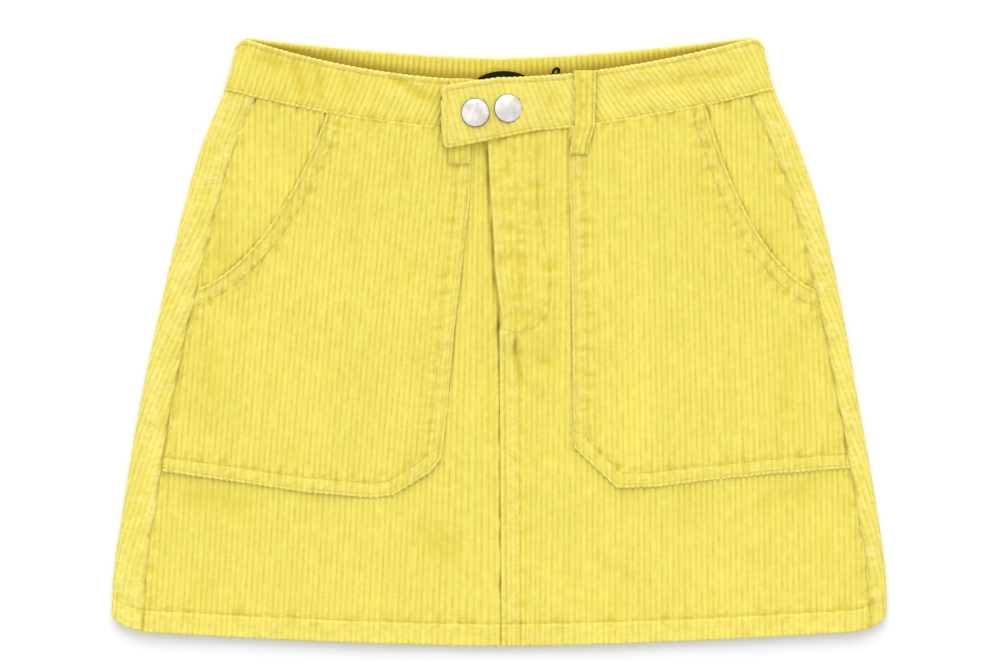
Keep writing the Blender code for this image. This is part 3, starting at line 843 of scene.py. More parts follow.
def beside_pocket(side, shade):
    """A pocket's scoop draws the front in, and along its other edges the front swells up."""
    scoop, around = pocket_outline(POCKETS[max(side, 0)])
    swollen = pressed(beside(resampled(around), -side), -0.4, 1.8, 0.05)
    return pressed(beside(scoop, 0.7 * side), 0.1, 0.9, shade), swollen


def loop_sides(outline, y):
    """A front loop's left and right edges."""
    heights, left, right = zip(*outline)
    return np.interp(y, heights, left), np.interp(y, heights, right)


def loop_rows(outline):
    """Where a loop lies on a pocket."""
    y = np.arange(outline[0][0] - 0.4, 148.0, 2.0)
    left, right = loop_sides(outline, y)
    foot = ((left[0] - 0.4, y[0]), (right[0] + 0.4, y[0]))
    sides = list(zip(left - 0.5, y)), list(zip(right + 0.5, y))
    return [pressed(line, 0.2, 0.8, 0.4) for line in (*sides, foot)]


def front_cut(name, first, last, leans, edges, face, rows, creases, folds, lines, seed, line, at):
    """A front's cords run along its centre edge: the cord that starts at that place keeps to the line."""
    lean = np.interp(0.0, [row[0] for row in leans], [row[1] for row in leans])

    def bend(c, s):
        return (line(s) - at - lean * s) * (1 - smooth(np.abs(c - at), 0.0, CENTRE_REACH))

    laid_out = (LOWEST, FRONT_HIGHEST, EVEN_ROWS, HEM_ROWS, FOLDED_ROWS, (0.5 * BEAD, 0.0))
    return Cut(name, first, last, leans, edges, face, rows, creases, folds, lines, *laid_out, seed, bend)


def front_left_cut():
    def edges(x, y):
        return (
            y - front_hem(x),
            (x - side_seam(-1, y) - HALF_GAP) * SIDE_COSINE,
            centre_line(y) - HALF_GAP + UNDERLAP * smooth(y, UNDERLAP_FROM, UNDERLAP_TO) - x,
            left_seam(x) + UNDER_SEAM - y,
        )

    scoop, foot = beside_pocket(-1, 0.5)
    rows = (
        hem_row(-240, 2),
        Row(upright(centre_line, np.linspace(-196, 6, 40), -0.5), 0.3, 0.8, 0.12, 14, 4.0, False, 0.7),
        scoop,
        foot,
        pressed(upright(fly_line, np.linspace(4, 138, 30), -1.0), 1.0, 1.3, 0.75),
        seam_row(-1),
        waist_row(left_seam, -178, 10),
    )
    folds = ((from_hem, HEM_STITCH, 0.3, 0.15),)
    span, looks = (-240, 12), (rows, LEFT_CREASES, folds, (hem_distance,), 11)
    return front_cut("front_left_cloth", *span, LEFT_LEANS, edges, front_face, *looks, centre_line, 0.0)


def front_right_cut():
    def edges(x, y):
        return (
            y - front_hem(x),
            (side_seam(1, y) - HALF_GAP - x) * SIDE_COSINE,
            x - fly_line(y) - HALF_GAP,
            right_seam(x) + UNDER_SEAM - y,
        )

    def beside_centre(offset):
        def distance(x, y):
            across_seam = x - centre_line(y) - offset
            return np.where(y < FLY_FOOT, across_seam, np.abs(across_seam) + FAR)

        return distance

    def from_curve(x, y):
        distance, _, right = nearest(x, y, curve)
        return np.where(right, -distance, distance)

    y, fly_y = np.linspace(-196, 4, 30), np.linspace(10, 138, 30)
    close, wide = CENTRE_STITCHES
    curve = resampled(J_STITCH, 3.0)
    rows = (
        hem_row(2, 240),
        Row(upright(centre_line, y, close), 0.35, 0.9, 0.15, 12, 3.0, True),
        Row(upright(centre_line, y, wide), 0.5, 1.0, 0.3, 12, 4.5, True),
        Row(curve, 0.7, 1.1, 0.5, 13, 6.0, True),
        pressed(((11.6, 4), (10.6, -4), (12.0, -14), (13.8, -22)), 0.5, 0.9, 0.5),
        Row(upright(fly_line, fly_y, 4.6), 0.4, 0.8, 0.5, 13, 5.0, False, 0.12),
        Row(upright(fly_line, fly_y, 10.5), 0.2, 0.8, 0.6, 14, 5.0, False, 0.0),
        Row(upright(fly_line, fly_y, 17.0), 0.0, 1.0, 0.5, 9, 7.0, False, 0.0),
        *beside_pocket(1, 0.65),
        seam_row(1),
        waist_row(right_seam, -10, 180),
    )
    folds = (
        (from_hem, HEM_STITCH, 0.3, 0.15),
        (lambda x, y: np.where(y < FLY_FOOT, x - centre_line(y), FAR), wide, 0.4, 0.3),
        (lambda x, y: np.where(y > FLY_FOOT, x - fly_line(y), FAR), 6.5, 0.35, 0.4),
    )
    lines = (hem_distance, beside_centre(wide), from_curve, beside_centre(close))
    span, looks = (-14, 246), (rows, RIGHT_CREASES, folds, lines, 12)
    return front_cut("front_right_cloth", *span, RIGHT_LEANS, edges, right_face, *looks, fly_line, CORD_AT[1] * PITCH)


def pocket_outline(cut):
    """The scoop, and the run down the inner edge and along the foot, as points."""
    inner = [(x, y) for y, x in reversed(cut.inner)]
    return bezier(cut.scoop, 30), inner[:-1] + sorted(cut.foot, reverse=cut.side < 0)


def pocket_cut(cut):
    side = cut.side
    scoop, around = pocket_outline(cut)
    around = resampled(around)
    seam = right_seam if side > 0 else left_seam
    order = np.argsort(scoop[:, 0])
    opening = abs(cut.scoop[0][0])

    def top(x):
        on_scoop = np.interp(x, scoop[order, 0], scoop[order, 1])
        return np.minimum(seam(x) + UNDER_SEAM, on_scoop + SCOOP_STEEP * np.maximum(0.0, opening - np.abs(x)))

    def edges(x, y):
        d, over = nearest(x, y, scoop)[0], y - top(x)
        under_scoop = np.where(over > 0, np.where(np.abs(x) > opening, -d, -over), np.minimum(d, 50))
        return (
            (y - table(cut.foot, x)) * FOOT_COSINE,
            side * (x - table(cut.inner, y)),
            side * (side_seam(side, y) - x) - HALF_GAP,
            seam(x) + UNDER_SEAM - y,
            under_scoop,
        )

    def from_edge(x, y):
        return np.minimum(nearest(x, y, scoop)[0], nearest(x, y, around)[0])

    close, wide = POCKET_STITCHES
    rows = (
        Row(beside(around, close * side), 0.5, 0.8, 0.2, 9, 3.5, True),
        Row(beside(around, wide * side), 0.75, 0.9, 0.45, 9, 5.5, True),
        Row(beside(scoop, -2.4 * side), 0.5, 0.8, 0.25, 9, 3.0, True),
        Row(beside(scoop, -8.5 * side), 0.5, 1.0, 0.85, 8, 6.0, True),
        *loop_rows(RIGHT_LOOP if side > 0 else LEFT_LOOP),
        seam_row(side),
        waist_row(seam, *((-178, -10) if side < 0 else (10, 180))),
    )
    creases = (
        Crease(((side * 120, 130), (side * 150, 60)), -0.4, 9),
        Crease(((side * 60, 110), (side * 90, 20)), 0.4, 16),
        Crease(((side * 190, 20), (side * 185, -70)), -0.4, 9),
        Crease(((side * 150, -20), (side * 80, -55)), 0.4, 14),
    )
    folds = ((from_edge, wide, 0.25, ROPE),)
    lines = (lambda x, y: from_edge(x, y) - close, lambda x, y: from_edge(x, y) - wide)
    span, seed = ((-236, -4), 21) if side < 0 else ((36, 240), 22)
    laid_out = (-104, 160, POCKET_EVEN_ROWS, POCKET_ROWS, POCKET_ROWS, (1.5 * BEAD, BEAD))

    def face(x, y):
        return pocket_face(side, x, y)

    return Cut(cut.name + "_cloth", *span, cut.leans, edges, face, rows, creases, folds, lines, *laid_out, seed)


# ---------------------------------------------------------------- the back

EASE_FROM, EASE_TO, EASE = 70.0, 135.0, 0.48


def hip_ease(s):
    """How far the cords swing out over the hips, where the cloth is eased into the band."""
    span = EASE_TO - EASE_FROM
    bend = np.clip(s - EASE_FROM, 0, span)
    return EASE * (bend**2 / (2 * span) + np.maximum(s - EASE_TO, 0))


Wrapped = namedtuple("Wrapped", "x y angle radius on_top side cosine sine")


def wrapped(c, s):
    """Where a point of the back's flat pattern, c across and s up, comes to lie on the skirt.  angle is how far it
    has turned round the fold, and on_top how far past it."""
    side = np.where(c < 0, -1, 1)
    c = c - side * hip_ease(s) * smooth(np.abs(c), 100, 170)
    reach, above, below = (np.where(c < 0, form("left", y), form("right", y)) for y in (s, s + 2, s - 2))
    slope = (above - below) / 4
    radius = fold_radius(s)
    cosine = 1 / np.sqrt(1 + slope**2)
    sine = slope * cosine
    past = (np.abs(c) - (reach - radius)) * cosine
    angle = np.clip(past / radius, 0, math.pi)
    on_top = np.maximum(past - math.pi * radius, 0)
    out = radius * np.sin(angle) - on_top - np.maximum(past, 0)
    return Wrapped(side * (np.abs(c) + out * cosine), s - out * sine, angle, radius, on_top, side, cosine, sine)


def back_edges(at):
    share = at.angle / math.pi
    low = lerp(back_hem(at.x), front_hem(at.x), share)
    high = lerp(across(BACK_SEAM, at.x), across(FRONT_SEAM, at.x), share) - HALF_GAP
    seam = np.where(at.side < 0, at.x - side_seam(-1, at.y, 0), side_seam(1, at.y, 0) - at.x)
    return at.y - low, high + UNDER_SEAM - at.y, np.where(at.on_top > 0, UNDER_SEAM - seam * SIDE_COSINE, FAR)


def back_panel(stuff):
    at, height, numbers = cords(-292, 292)
    start, end, kept = stretches(at, lambda c, s: (wrapped(c, s),), back_edges, LOWEST, BACK_HIGHEST, 700)
    at, height, numbers, start, end = (a[kept > 3] for a in (at, height, numbers, start, end))
    places = row_places(at, start, end, BACK_HEM_ROWS, BACK_TOP_ROWS, BACK_EVEN_ROWS, LOWEST, BACK_HIGHEST)
    mesh, i, j, inner = grid("back_panel_cloth", len(at) - 1, places.shape[1] - 1)
    place = wrapped(at[i], places[i, j])
    x, y, angle, radius, on_top, side, cosine, sine = place
    edge = np.maximum(np.minimum.reduce(back_edges(place)), 0)
    shape, golden_shade_and_patches, shade = row_relief(hem_row(-252, 252), x, y, 5)
    strip = np.where(side < 0, x - fold(-1, y), fold(1, y) - x)
    puckers = np.clip(waves(y + 13 * side + 0.25 * strip * side, 17, 31), -0.5, 1.0)
    reach = np.where(side < 0, LEFT_TURN, side_turn(y))
    fade = np.exp(-(((strip - reach) / 11) ** 2))
    seam_line = np.exp(-(((strip - reach) / 1.6) ** 2))
    on_strip = on_top > 0
    crumple = 0.35 * ripple(x, y, 7.0, 33)
    sunk = 0.7 * smooth(strip - reach, 0.1, 1.0) + 0.3 * seam_line
    shape = shape + np.where(on_strip, (crumple - 0.8 * puckers) * fade - sunk, 0.0)
    # painted golden shade in the troughs of the strip's puckers
    golden_shade_and_patches = np.maximum(golden_shade_and_patches, np.where(on_strip, 0.6 * np.clip(puckers - crumple, 0, 1) * fade, 0.0))
    shade = np.where(on_strip & ~inner, np.clip(0.22 + 0.2 * waves(y, 26, 35), 0, 1) * seam_line, 0.0)
    rib = rib_height(height[i], numbers[i], y, 13) * np.where(on_strip, 0.7, 1.0)
    # fold_sheen is painted sheen: paler along the outline of the folded sides
    fold_sheen = np.exp(-((strip / 2.5) ** 2)) * np.where(on_strip | (angle > 1.0), 0.9, 0.0)
    patchy = np.where(on_strip, 0.6 + 0.4 * ripple(x, y, 16.0, 34), 0.0)
    outer_depth = RIB - PROUD - rib + roll_off(edge, ROLL) - shape
    depth = np.where(inner, np.maximum(INNER_DEPTH, outer_depth + THINNEST), outer_depth)
    depth = np.where(angle < math.pi, np.maximum(depth, 0.0), depth)
    round_z = form("under", y) + (radius - depth) * (1 - np.cos(angle)) + depth
    z = np.where(angle >= math.pi, front_face(x, y) - depth, round_z)
    moved = np.where((angle > 0) & (angle < math.pi), np.sin(angle) * depth, 0.0)
    line = hem_distance(x - side * cosine * moved, y + sine * moved)
    facts = {
        "cord": np.where(inner, INNER_CORD, height[i]),
        "edge": np.clip(np.maximum.reduce([worn_share(edge, shape), fold_sheen, patchy]), 0, 1),
        "golden_shade_and_patches": np.where(inner, INNER_GOLDEN_SHADE, golden_shade_and_patches),
        "shade": shade,
        "tone": cord_tone(numbers, 13)[i],
        "line_1": np.where(inner, FAR, line),
    }
    return finish_cloth(mesh, (x - side * cosine * moved, y + sine * moved, z), facts, stuff)


# ---------------------------------------------------------------- the waistband


BAND_MIDDLE, BAND_DEEP = 182.0, 34.0
BAND_SHARES = (
    *(0, 0.012, 0.03, 0.055, 0.085, 0.12, 0.2, 0.3, 0.4, 0.5, 0.6, 0.7, 0.8),
    *(0.86, 0.89, 0.92, 0.955, 0.975, 0.99, 1),
)


BAND_CREASES = (
    Crease(((-76, 174), (-62, 168), (-50, 160), (-36, 155)), -1.3, 2.6),
    Crease(((-160, 186), (-148, 181), (-136, 180)), -0.8, 3.0),
    Crease(((-82, 166), (-60, 155)), 0.6, 5),
    Crease(((-150, 192), (-142, 172)), -0.5, 4),
    Crease(((-134, 190), (-126, 154)), -0.8, 3.4),
    Crease(((-117, 184), (-115, 152)), -0.7, 3.2),
    Crease(((-101, 178), (-96, 158)), -0.4, 3.4),
    Crease(((62, 159), (84, 163), (104, 168), (131, 172), (170, 180)), -0.9, 3.6),
    Crease(((80, 152), (120, 158)), 0.5, 6),
    Crease(((66, 172), (96, 176)), 0.4, 5),
    Crease(((-6, 148), (18, 158)), -0.3, 4),
    Crease(((28, 150), (40, 165)), -0.5, 4),
)


def line_near(distance, middle, width, power=2):
    """1 at that distance from a line, and less beside it."""
    return np.exp(-(((distance - middle) / width) ** power))


def band_regions():
    """Lengths along the band at its middle height: left front, fold, back, fold, right front."""
    radius = float(fold_radius(BAND_MIDDLE, BAND_PROUD))
    left, right = (float(form(side, BAND_MIDDLE)) - radius for side in ("left", "right"))
    turn = math.pi * radius
    return radius, left, right, np.cumsum([0, BAND_LEFT_END + left, turn, left + right, turn, right - TAB_END])


def band_columns(marks, right_mid):
    """The band's cords: where each starts at its middle height, and how it leans."""
    at, height, numbers = cords(-12, marks[-1] + 12)
    front_x = np.where(at < marks[3] - 5, BAND_LEFT_END - at, right_mid - (at - marks[4]))
    hidden_leans = (-BAND_LEFT_LEANS[0][1], 0.0, 0.0, -BAND_RIGHT_LEANS[-1][1])
    lean = np.interp(at, [marks[1], marks[1] + 40, marks[4] - 40, marks[4]], hidden_leans)
    lean = np.where(at > marks[4], -table(BAND_RIGHT_LEANS, front_x), lean)
    return at, height, numbers, np.where(at < marks[1], -table(BAND_LEFT_LEANS, front_x), lean)


def waistband(stuff):
    radius_mid, left_mid, right_mid, marks = band_regions()
    at, height, numbers, lean = band_columns(marks, right_mid)
    mesh, i, j, inner = grid("waistband_cloth", len(at) - 1, len(BAND_SHARES) - 1)
    height, numbers, h = height[i], numbers[i], np.array(BAND_SHARES)[j]
    w = np.clip(at[i] + lean[i] * (h - 0.5) * BAND_DEEP, 0.0, marks[-1])
    regions = [np.clip(np.searchsorted(marks, w, side="right") - 1, 0, 4) == k for k in range(5)]
    left_front, left_turn, back, right_turn, right_front = regions
    front, turning = left_front | right_front, left_turn | right_turn
    side = np.where(w < (marks[2] + marks[3]) / 2, -1, 1)
    half_turn = math.pi / 2
    turns = (half_turn - (w - marks[1]) / radius_mid, -half_turn, -half_turn + (w - marks[3]) / radius_mid)
    angle = np.select(regions, [half_turn, *turns, half_turn])
    back_x, right_x = -left_mid + (w - marks[2]), right_mid - (w - marks[4])
    x_mid = np.select(regions, [BAND_LEFT_END - w, -left_mid, back_x, right_mid, right_x])
    mid = np.where(side < 0, left_mid, right_mid)
    from_side = mid - np.abs(x_mid) + radius_mid * (1 - np.where(turning, np.cos(angle), 0.0))
    past_side = np.clip(1 - from_side / BAND_CORNER_ACROSS, 0, 1)
    share_in = (half_turn - angle) / math.pi

    x = x_mid
    for _ in range(12):
        low = np.where(side < 0, left_seam(x), np.where(right_front, right_seam(x), across(FRONT_SEAM, x)))
        high = np.where(side < 0, left_top(x), np.where(right_front, right_top(x), across(RIGHT_TOP, x)))
        low, high = lerp(low, across(BACK_SEAM, x), share_in), lerp(high, across(BACK_TOP, x), share_in)
        past_corner = np.clip((TAB_CORNER_FROM - x) / (TAB_CORNER_FROM - TAB_END), 0, 1)
        corner = np.where(right_front, 1 - np.sqrt(1 - past_corner**2), 0.0)
        low, high = low + HALF_GAP + TAB_CORNER_LOW * corner, high - TAB_CORNER_HIGH * corner
        high = high - BAND_CORNER_DOWN * (1 - np.sqrt(1 - past_side**2))
        y = lerp(low, high, h)
        radius = fold_radius(y, BAND_PROUD)
        reach = np.where(side < 0, form("left", y), form("right", y)) - radius
        fan = np.where(right_front & (x_mid < 0), 1.0, reach / mid)
        x = np.where(side * x_mid > 0, x_mid * fan, x_mid)
    from_low, from_high = y - low, high - y
    at_ends = smooth(h, 0.9, 1.0) - (1 - smooth(h, 0.0, 0.07))
    y = y + BEAD * (height - 0.5) * np.where(at_ends > 0, at_ends, 0.5 * at_ends)
    from_tab_end = np.where(right_front, x - TAB_END, FAR)
    edge = np.minimum.reduce([from_low, from_high, from_tab_end, np.where(left_front, BAND_LEFT_END - x, FAR)])
    edge = np.maximum(edge, 0)
    lines = (from_high - BAND_HIGH_ROW, from_low - BAND_LOW_ROW, from_tab_end - TAB_ROW)

    shape = -0.5 * sum(line_near(distance, 0, 0.9) for distance in lines) + 0.25 * ripple(x, y, 42, 44)
    shape += ROPE * (line_near(from_high, 1.4, 1.2) + 0.6 * line_near(from_low, 1.0, 1.0))
    swell, swell_top = waves(w, 11, 41) + 0.5 * ripple(x, y, 5.0, 45), waves(w, 13, 42) + 0.5 * ripple(x, y, 5.0, 46)
    by_seam, by_top = line_near(from_low, 0, 7), line_near(from_high, 4, 5)
    shape += 0.32 * swell * by_seam + 0.2 * swell_top * by_top
    # painted golden shade in the troughs of the puckers along the seam and the top edge, and below in the creases'
    # troughs
    golden_shade_and_patches = np.maximum(0.8 * np.clip(-swell, 0, 1) * by_seam, 0.6 * np.clip(-swell_top, 0, 1) * by_top)
    for crease in BAND_CREASES:
        bend = np.where(left_front if crease.line[0][0] < -30 else right_front, crease_relief(crease, x, y), 0.0)
        shape += bend
        golden_shade_and_patches = np.maximum(golden_shade_and_patches, np.clip(-1.5 * bend, 0, 1))

    left_edge, right_edge = np.where(x < BAND_LEFT_END, left_top(x), 0.0), np.where(x > TAB_END, right_top(x), 0.0)
    past_front = y - np.maximum(left_edge, right_edge)
    depths = 0.85 * (1 - smooth(past_front, -1.0, 9.0)) + 0.2 * (1 - smooth(x, -150.0, -40.0)) + 0.4 * (1 - height)
    shade = np.where(inner & back, np.clip(depths, 0, 0.85) * smooth(from_high, 0.0, 4.0), 0.0)
    _, loop_left, loop_right = RIGHT_LOOP[-1]
    from_loop = np.abs(np.abs(x - (loop_left + loop_right) / 2) - (loop_right - loop_left) / 2)
    shade = np.maximum(shade, np.where(right_front & ~inner, 0.35 * line_near(from_loop, 0.4, 1.0), 0.0))
    by_tab = 0.3 * line_near(np.minimum(TAB_END - x, FAR), 0, 1.6)
    shade = np.maximum(shade, np.where(left_front & (x < TAB_END), by_tab, 0.0))
    worn = np.maximum(worn_share(edge, shape) * (0.4 + 0.6 * height), np.where(right_front, 0.4, 0.0))

    rib = rib_height(height, numbers, h * BAND_DEEP, 43) * 0.9
    outer_depth = RIB - PROUD - rib + roll_off(edge + 0.4 * height, 1.25) - shape
    inner_depth = BAND + 0.4 - rib * 0.8 - roll_off(edge, 0.9)
    depth = np.where(inner, np.maximum(inner_depth, outer_depth + THINNEST), outer_depth)
    under = form("under", y)
    z_front = band_face(x, y) + np.where(right_front, tab_rise(x), 0.0) - depth
    z_round = under + radius + (radius - depth) * np.sin(angle)
    z = np.where(front, z_front, np.where(back, under + np.maximum(depth, 0), z_round))
    x = np.where(turning, x + side * (radius - depth) * np.cos(angle), x)
    facts = {
        "cord": height,
        "edge": np.maximum(worn, np.where(inner, 0.0, 0.8 * line_near(from_high, 0, 4, 4))),
        # the band's inner face takes painted golden shade all over
        "golden_shade_and_patches": np.where(inner, 0.45, golden_shade_and_patches),
        "shade": shade,
        "tone": cord_tone(numbers, 43),
    }
    for name, distance in zip(LINES, lines):
        facts[name] = np.where(inner, FAR, distance)
    return finish_cloth(mesh, (x, y, z), facts, stuff)


# ---------------------------------------------------------------- loops and hidden pieces


def strip(name, sides, low, high, face, stuff, seed, up=1):
    """A ribbed strip that runs up the skirt.  sides gives its left and right edges at a height."""
    ys = np.array([low, low + 0.4, *np.arange(low + 1.2, high - 1, 1.3), high - 0.4, high])
    left, right = sides(ys)
    width = float(np.mean(right - left))
    at, height, numbers = cords(0, width)
    mesh, i, j, inner = grid(name, len(at) - 1, len(ys) - 1)
    height, share, y = height[i], at[i] / at[-1], ys[j]
    x = lerp(left[j], right[j], share)
    from_side, from_end = np.minimum(share, 1 - share) * width, np.minimum(y - low, high - y)
    edge = np.maximum(np.minimum(from_side, from_end), 0)
    rows = 0.35 * line_near(from_side, LOOP_ROW, 0.7) + 0.3 * line_near(from_end, 1.5, 1.0)
    swell = 0.2 * ripple(x, y, 7, seed)
    depth = RIB - PROUD - rib_height(height, numbers[i], y, seed) + roll_off(edge, 0.7) + rows - swell
    z = np.maximum(face(x, y) + up * np.where(inner, 0.0, LOOP - depth), 0.0)
    facts = {
        "cord": np.where(inner, INNER_CORD, height),
        "edge": worn_share(edge, swell),
        # painted golden shade in the troughs of the strip's swells
        "golden_shade_and_patches": np.clip(-3 * swell, 0, 1),
        "shade": np.where(inner, 0.0, 0.14 * (1 - height)),
        "tone": cord_tone(numbers, seed)[i],
        "line_1": np.where(inner, FAR, from_side - LOOP_ROW),
    }
    return finish_cloth(mesh, (x, y, z), facts, stuff)


def loop_face(side, outline):
    """What a front loop lies on: the pocket, and then the band."""
    bend = float((right_seam if side > 0 else left_seam)(outline[1][1]))

    def face(x, y):
        return lerp(pocket_face(side, x, y), band_face(x, y), smooth(y, bend, bend + LOOP_STEP)) + GAP

    return face


def front_loop(name, side, outline, stuff):
    ends = outline[0][0], outline[-1][0]
    return strip(name, lambda y: loop_sides(outline, y), *ends, loop_face(side, outline), stuff, 51 + side)


def back_loop(name, x, stuff):
    ends = float(across(BACK_SEAM, x)) - BACK_LOOP_BELOW, float(across(BACK_TOP, x)) - 0.5
    left, right = x - BACK_LOOP_WIDTH / 2, x + BACK_LOOP_WIDTH / 2
    return strip(name, lambda y: (left + 0 * y, right + 0 * y), *ends, lambda x, y: LOOP, stuff, int(abs(x)), up=-1)


def slab(name, left, right, low, high, top, thick, stuff):
    columns, rows = 6, 20
    mesh, i, j, inner = grid(name, columns, rows)
    x, y = lerp(left, right, i / columns), lerp(low, high, j / rows)
    return finish_cloth(mesh, (x, y, top(x, y) - np.where(inner, thick, 0.0)), {}, stuff)


# ---------------------------------------------------------------- stitches


def stitches(name, runs, stuff):
    """Stitches as one mesh: each is a short thread, round and pointed at both ends.  runs holds (points, step,
    length, face), where face gives the height at x, y.  A length below 0 lays the threads across the run."""
    bm = bmesh.new()
    bmesh.ops.create_uvsphere(bm, u_segments=6, v_segments=4, radius=0.5)
    shape = np.array([v.co for v in bm.verts])[:, [2, 0, 1]]
    faces = [[v.index for v in f.verts] for f in bm.faces]
    bm.free()
    points, lists = [], []
    for line, step, length, face in runs:
        where, ahead = evenly(line, step)
        if length < 0:
            ahead = np.stack([-ahead[:, 1], ahead[:, 0]], 1)
        height = face(where[:, 0], where[:, 1])
        rise = face(where[:, 0] + ahead[:, 0], where[:, 1] + ahead[:, 1]) - height
        for (x, y), (ux, uy), z, climb in zip(where, ahead, height, rise):
            along, beside_it, up = (shape * (abs(length), THREAD, THREAD)).T
            placed = (x + ux * along - uy * beside_it, y + uy * along + ux * beside_it, z + climb * along + up)
            lists += [[k + len(points) * len(shape) for k in corners] for corners in faces]
            points.append(np.stack(placed, 1))
    mesh = bpy.data.meshes.new(name)
    mesh.from_pydata((np.concatenate(points) * MM).tolist(), [], lists)
    mesh.shade_smooth()
    return add(mesh, stuff)


def cut_runs(cut, sink=0.27):
    """The cut's rows of stitches on its face."""

    def face(x, y):
        return cut.face(x, y) + PROUD + relief(cut.rows, cut.creases, x, y)[0] + folded_height(cut, x, y) - sink

    runs = []
    for row in cut.rows:
        if not row.sewn:
            continue
        points, _ = evenly(row.line, 1.0)
        inside = np.minimum.reduce(cut.edges(points[:, 0], points[:, 1])) > 0.8
        if inside.sum() > 3:
            runs.append((points[inside], STITCH_STEP, STITCH, face))
    if cut.name == "front_right_cloth":
        runs.append((((1.5, 12.0), (1.5, 20.0)), TACK_STEP, -TACK, lambda x, y: face(x, y) + 0.5))
    return runs


def sewn_run(x, y, face):
    return np.stack([x, y], 1), STITCH_STEP, STITCH, face


def band_runs():
    """The waistband's rows: along both edges of its front and back, and round the tab's end."""
    x, tab = np.arange(-163.0, 164.0, 1.0), TAB_END + TAB_ROW
    left, right = x[x < TAB_END - 1], x[x > tab]

    def on_left(x, y):
        return band_face(x, y) + PROUD - THREAD

    def on_right(x, y):
        return band_face(x, y) + tab_rise(x) + PROUD - THREAD

    def under(x, y):
        return form("under", y) + 0.35

    tab_y = np.arange(right_seam(tab) + BAND_LOW_ROW, right_top(tab) - BAND_HIGH_ROW, 1.0)
    return [
        sewn_run(left, left_top(left) - BAND_HIGH_ROW, on_left),
        sewn_run(left, left_seam(left) + BAND_LOW_ROW, on_left),
        sewn_run(right, right_top(right) - BAND_HIGH_ROW, on_right),
        sewn_run(right, right_seam(right) + BAND_LOW_ROW, on_right),
        sewn_run(np.full(len(tab_y), tab), tab_y, on_right),
        sewn_run(x, across(BACK_TOP, x) - BAND_HIGH_ROW, under),
        sewn_run(x, across(BACK_SEAM, x) + BAND_LOW_ROW, under),
        (((-4.5, 178.8), (9.0, 178.8)), TACK_STEP, -1.6 * TACK, lambda x, y: form("under", y) + BAND + 0.1),
    ]


def loop_runs(outline, face):
    """Two rows up a front loop and a bar tack across its foot."""
    y = np.arange(outline[0][0] + 1.0, outline[-1][0] - 1.0, 1.0)
    left, right = loop_sides(outline, y)
    foot = outline[0][0] + 1.5
    tack = (outline[0][1] + 0.8, foot), (outline[0][2] - 0.8, foot)

    def sunk(x, y):
        return face(x, y) + LOOP - 0.25

    return [
        sewn_run(left + LOOP_ROW, y, sunk),
        sewn_run(right - LOOP_ROW, y, sunk),
        (tack, TACK_STEP, -TACK, lambda x, y: face(x, y) + LOOP),
    ]


# ---------------------------------------------------------------- trims


def snap_cap(cap, stuff, rim_shade_stuff):
    bm = bmesh.new()
    dome_edge = CAP_RADIUS - CAP_ROLL
    profile = []
    for r in (0.0, 0.6, 1.2, 1.8, *np.linspace(2.8, dome_edge, 14)):
        hollow = cap.dip * (0.5 + 0.5 * math.cos(math.pi * min(1.0, r / 6.0)))
        profile.append((r, CAP_HEIGHT - hollow - cap.drop * (r / dome_edge) ** cap.power))
    for a in np.radians((70, 45, 20, 0, -25, -50, -75, -90)):
        profile.append((dome_edge + CAP_ROLL * math.cos(a), CAP_HEIGHT - cap.drop - CAP_ROLL + CAP_ROLL * math.sin(a)))
    profile += [(dome_edge - CAP_RIM, 0.0), (0.0, 0.0)]
    points = [bm.verts.new((r * MM, 0, z * MM)) for r, z in profile]
    edges = [bm.edges.new(pair) for pair in zip(points, points[1:])]
    bmesh.ops.spin(
        bm, geom=points + edges, cent=(0, 0, 0), axis=(0, 0, 1), angle=2 * math.pi, steps=64, use_merge=True
    )
    bmesh.ops.remove_doubles(bm, verts=bm.verts[:], dist=1e-6)
    bmesh.ops.recalc_face_normals(bm, faces=bm.faces[:])
    for face in bm.faces:
        face.smooth = True
        # The rolled edge and the underside take the dark rim metal: painted shade round the cap's outline
        face.material_index = int(face.calc_center_median().xy.length > (dome_edge - 0.1) * MM)
    tilt = math.radians(cap.tilt)
    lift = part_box(cap.name)[0].z / MM + 0.5 * math.sin(tilt) * (dome_edge - CAP_RIM)
    placed = Matrix.Translation(Vector((cap.x, cap.y, lift)) * MM) @ Matrix.Rotation(tilt, 4, "Y")
    bmesh.ops.transform(bm, matrix=placed, verts=bm.verts[:])
    return add(new_mesh(cap.name + "_metal", bm), stuff, rim_shade_stuff)


def on_band(y):
    """The inner face of the band's back."""
    return float(form("under", y)) + BAND + 0.1 + GAP


def woven_label(stuff):
    bm = bmesh.new()
    bmesh.ops.create_circle(bm, cap_ends=True, segments=96, radius=1.0)
    bmesh.ops.solidify(bm, geom=bm.faces[:], thickness=1.0)
    low = min(vertex.co.z for vertex in bm.verts)
    for vertex in bm.verts:
        x, y, z = vertex.co
        z = on_band(LABEL_Y) + LABEL * (z - low)
        vertex.co = Vector((LABEL_X + LABEL_ACROSS * x, LABEL_Y + LABEL_UP * y, z)) * MM
    bmesh.ops.recalc_face_normals(bm, faces=bm.faces[:])
    return add(new_mesh("label_tape", bm), stuff)


def hanger(stuff):
    """A narrow tape sewn in as a loop."""
    bends = 16
    mesh, i, j, inner = grid("hanger_tape_weave", 2, bends + 2)
    radius = HANGER_WIDTH / 2 - HANGER_TAPE * (1 - i / 2)
    high = HANGER_HIGH - HANGER_WIDTH / 2
    angle = np.pi * (j - 1) / bends
    x = np.where(j == 0, radius, np.where(j == bends + 2, -radius, radius * np.cos(angle)))
    y = np.where((j == 0) | (j == bends + 2), HANGER_LOW, high + radius * np.sin(angle))
    z = on_band(HANGER_LOW) + np.where(inner, 0.0, HANGER)
    slanted = HANGER_X + x + HANGER_SLANT * (y - HANGER_HIGH + HANGER_WIDTH)
    return finish_cloth(mesh, (slanted, y, z), {}, stuff)


